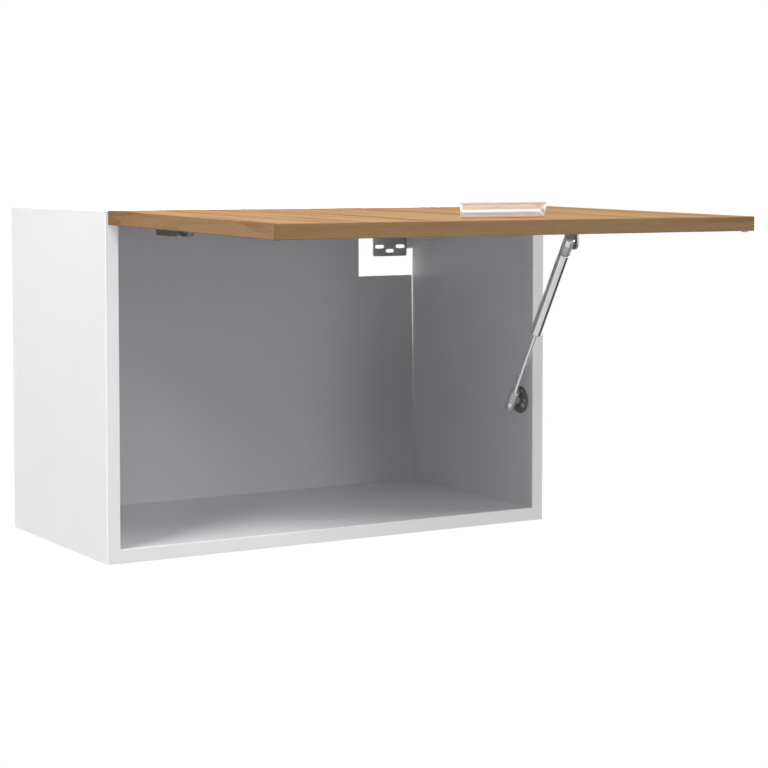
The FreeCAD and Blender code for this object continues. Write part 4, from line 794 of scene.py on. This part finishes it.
def basePieces():
    low, high = np.array(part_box("strut_base_plate"))
    middle = np.array([low[0], *(low + high)[1:] / 2])
    profile = pinProfile(-rivets["sink"], rivets["rise"], rivets["radius"], rivets["soft"]) * mm
    heads = []
    for turn in np.radians(rivets["angles"]):
        spot = middle + rivets["circle"] * mm * np.array([0, math.cos(turn), math.sin(turn)])
        heads.append(turnedPoints(profile, spot, -alongX, rivets["steps"]))
    points, faces = joinedGrids(heads, gridFaces(len(profile), rivets["steps"], False, True))
    addTo(meshPiece("base_plate_rivets", points, faces), "carcass", "zinc_steel")
    profile = pinProfile(collar["start"], collar["end"], collar["radius"], collar["soft"])
    addTo(turnedPiece("stud_collar", profile, strutBall, alongX, collar["steps"]), "carcass", "grey_plastic")


basePieces()

# Cover beside the bracket's leg: an outline (along the flap, off it) in mm, carried along X between
# two smaller ends
cover = dict(outline=((5.0, 0.6), (19.8, 0.6), (19.8, 19.0), (15.5, 23.5), (5.0, 23.5)), soft=1.2,
             softSteps=6, ends=(3.4, 0.9), middle=(12.0, 12.0), edge=0.4, shrink=0.94)


def coverPiece():
    low, high = np.array(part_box("strut_bracket"))
    outline = softCorners(cover["outline"], cover["soft"], cover["softSteps"])
    shrink = np.array([cover["shrink"], 1.0, 1.0, cover["shrink"]])[:, None, None]
    flat = (cover["middle"] + (outline - cover["middle"]) * shrink) * mm
    first, last = high[0] - np.array(cover["ends"]) * mm
    across = np.array([first, first + cover["edge"] * mm, last - cover["edge"] * mm, last])[:, None, None]
    foot = np.array([0, (low[1] + high[1]) / 2, high[2]])
    points = foot + flat[..., :1] * flapUp + flat[..., 1:] * flapInward + across * alongX
    addTo(meshPiece("bracket_cover", points, cappedFaces(len(across), len(outline))), "flap", "grey_plastic")


coverPiece()

# Closing buffers: low soft domes at the middle of the solids that they stand for, in mm
buffers = dict(radius=4.0, height=0.8, soft=0.6, softSteps=7, steps=40)


def bufferPieces():
    profile = pinProfile(0, buffers["height"], buffers["radius"], buffers["soft"], buffers["softSteps"]) * mm
    domes = []
    for low, high in solidBoxes("closing_buffers"):
        foot = (low + high) / 2 - flapInward * buffers["height"] / 2 * mm
        domes.append(turnedPoints(profile, foot, flapInward, buffers["steps"]))
    points, faces = joinedGrids(domes, gridFaces(len(profile), buffers["steps"], False, True))
    standFor(meshPiece("closing_buffers_shown", points, faces), "closing_buffers")


bufferPieces()
print("handle, clips and buffers done")

# White to the eye and in reflections, a low even light for everything else
sky = dict(light=0.04, rays=("Is Camera Ray", "Is Glossy Ray", "Is Transmission Ray"))


def worldLight():
    world = bpy.data.worlds.new("studio")
    bpy.context.scene.world = world
    world.use_nodes = True
    paint = Paint(world.node_tree)
    seen = sum(paint.add("ShaderNodeLightPath", output=ray) for ray in sky["rays"]) > 0.5
    strength = sky["light"] + (1 - sky["light"]) * seen
    back = paint.add("ShaderNodeBackground", None, {"Color": tone(1, 1, 1), "Strength": strength})
    paint.add("ShaderNodeOutputWorld", None, {"Surface": back})


worldLight()


# A disc of rings r * (cos a, sin a) square to its axis, in metres
def discPiece(name, place, axis, radius, rings, steps):
    profile = np.stack([np.zeros(rings), np.linspace(0, radius, rings)], 1)
    points = turnedPoints(profile, place, axis, steps)
    return meshPiece(name, points, gridFaces(rings, steps, False, True).tolist())


# Floor: a pale round that fades to the white of the room at its rim
floor = dict(disc=dict(place=(0, -0.3, -1.40), axis=(0, 0, 1), radius=2.3, rings=12, steps=72),
             colour=tone(0.72, 0.72, 0.72), shade=tone(0.68, 0.68, 0.68), grain=(40, 40, 40), shading=0.1,
             fadeRange=(0.9, 2.2))


def paleFloor():
    piece = discPiece("floor", **floor["disc"])
    material, paint = newFinish("paleFloor")
    x, y = paint.axes()[:2]
    centreX, centreY = floor["disc"]["place"][:2]
    far = paint.ramp(((x - centreX) ** 2.0 + (y - centreY) ** 2.0) ** 0.5, *floor["fadeRange"])
    grain = paint.noise(paint.place(), floor["grain"], detail=3.0)
    colour = paint.mix(grain * floor["shading"], floor["colour"], floor["shade"])
    matte = paint.add("ShaderNodeBsdfDiffuse", None, {"Color": colour})
    glow = paint.add("ShaderNodeEmission", None, {"Color": tone(1, 1, 1), "Strength": 1.0})
    eye = paint.add("ShaderNodeLightPath", output="Is Camera Ray")
    both = paint.add("ShaderNodeMixShader", None, {0: far * eye, 1: matte, 2: glow})
    paint.add("ShaderNodeOutputMaterial", None, {"Surface": both})
    piece.data.materials.append(material)


paleFloor()

# Dark round card below right of the strut, seen only in shiny metal
card = dict(disc=dict(place=(0.957, -0.765, -0.935), axis=(0.572, -0.349, -0.743), radius=0.52, rings=4,
                      steps=48),
            colour=tone(0.10, 0.10, 0.10))


def darkCard():
    piece = discPiece("darkCard", **card["disc"])
    material, paint = newFinish("darkCard")
    black = paint.add("ShaderNodeBsdfDiffuse", None, {"Color": card["colour"]})
    paint.add("ShaderNodeOutputMaterial", None, {"Surface": black})
    piece.data.materials.append(material)
    piece.visible_camera = False
    piece.visible_diffuse = False
    piece.visible_shadow = False


darkCard()

# Lamps: azimuth in degrees from the front (-Y) towards +X, and the level on a white face square to the lamp
lamps = {
    "rightLamp": dict(azimuth=85, elevation=16, size=1.4, level=0.60),
    "lowLamp": dict(azimuth=24, elevation=10, size=1.4, level=0.12),
    "frontLamp": dict(azimuth=-25, elevation=30, size=1.4, level=0.20),
    "leftLamp": dict(azimuth=-70, elevation=44, size=1.4, level=0.69),
    "rearLeftLamp": dict(azimuth=-104, elevation=10, size=2.0, level=0.335),
    "rearLamp": dict(azimuth=155, elevation=9, size=1.6, level=0.30),
}
lampDistance = 3.4
aim = np.array([0.0, -0.3, -0.1])
for name, lamp in lamps.items():
    turn = math.radians(lamp["azimuth"])
    lift = math.radians(lamp["elevation"])
    way = np.array([math.sin(turn) * math.cos(lift), -math.cos(turn) * math.cos(lift), math.sin(lift)])
    data = bpy.data.lights.new(name, "AREA")
    data.shape = "DISK"
    data.size = lamp["size"]
    data.energy = lamp["level"] * (math.pi * lampDistance) ** 2
    holder = bpy.data.objects.new(name, data)
    holder.location = aim + way * lampDistance
    holder.rotation_euler = (math.pi / 2 - lift, 0, turn)
    bpy.context.scene.collection.objects.link(holder)

# Camera at the photograph's place, in metres and radians: yaw from +Y towards +X, pitch up
camera = dict(place=(-1.21747, -2.43577, 0.11122), yaw=0.53861, pitch=-0.05527, lens=96.70, shift=-0.1302,
              sensor=36.0, farthest=40.0)
view = bpy.data.cameras.new("photoCamera")
view.lens = camera["lens"]
view.sensor_width = camera["sensor"]
view.shift_y = camera["shift"]
view.clip_end = camera["farthest"]
holder = bpy.data.objects.new("photoCamera", view)
holder.location = camera["place"]
holder.rotation_euler = (math.pi / 2 + camera["pitch"], 0, -camera["yaw"])
bpy.context.scene.collection.objects.link(holder)
bpy.context.scene.camera = holder
bpy.context.scene.view_settings.view_transform = "Standard"
print("room, lamps and camera done")
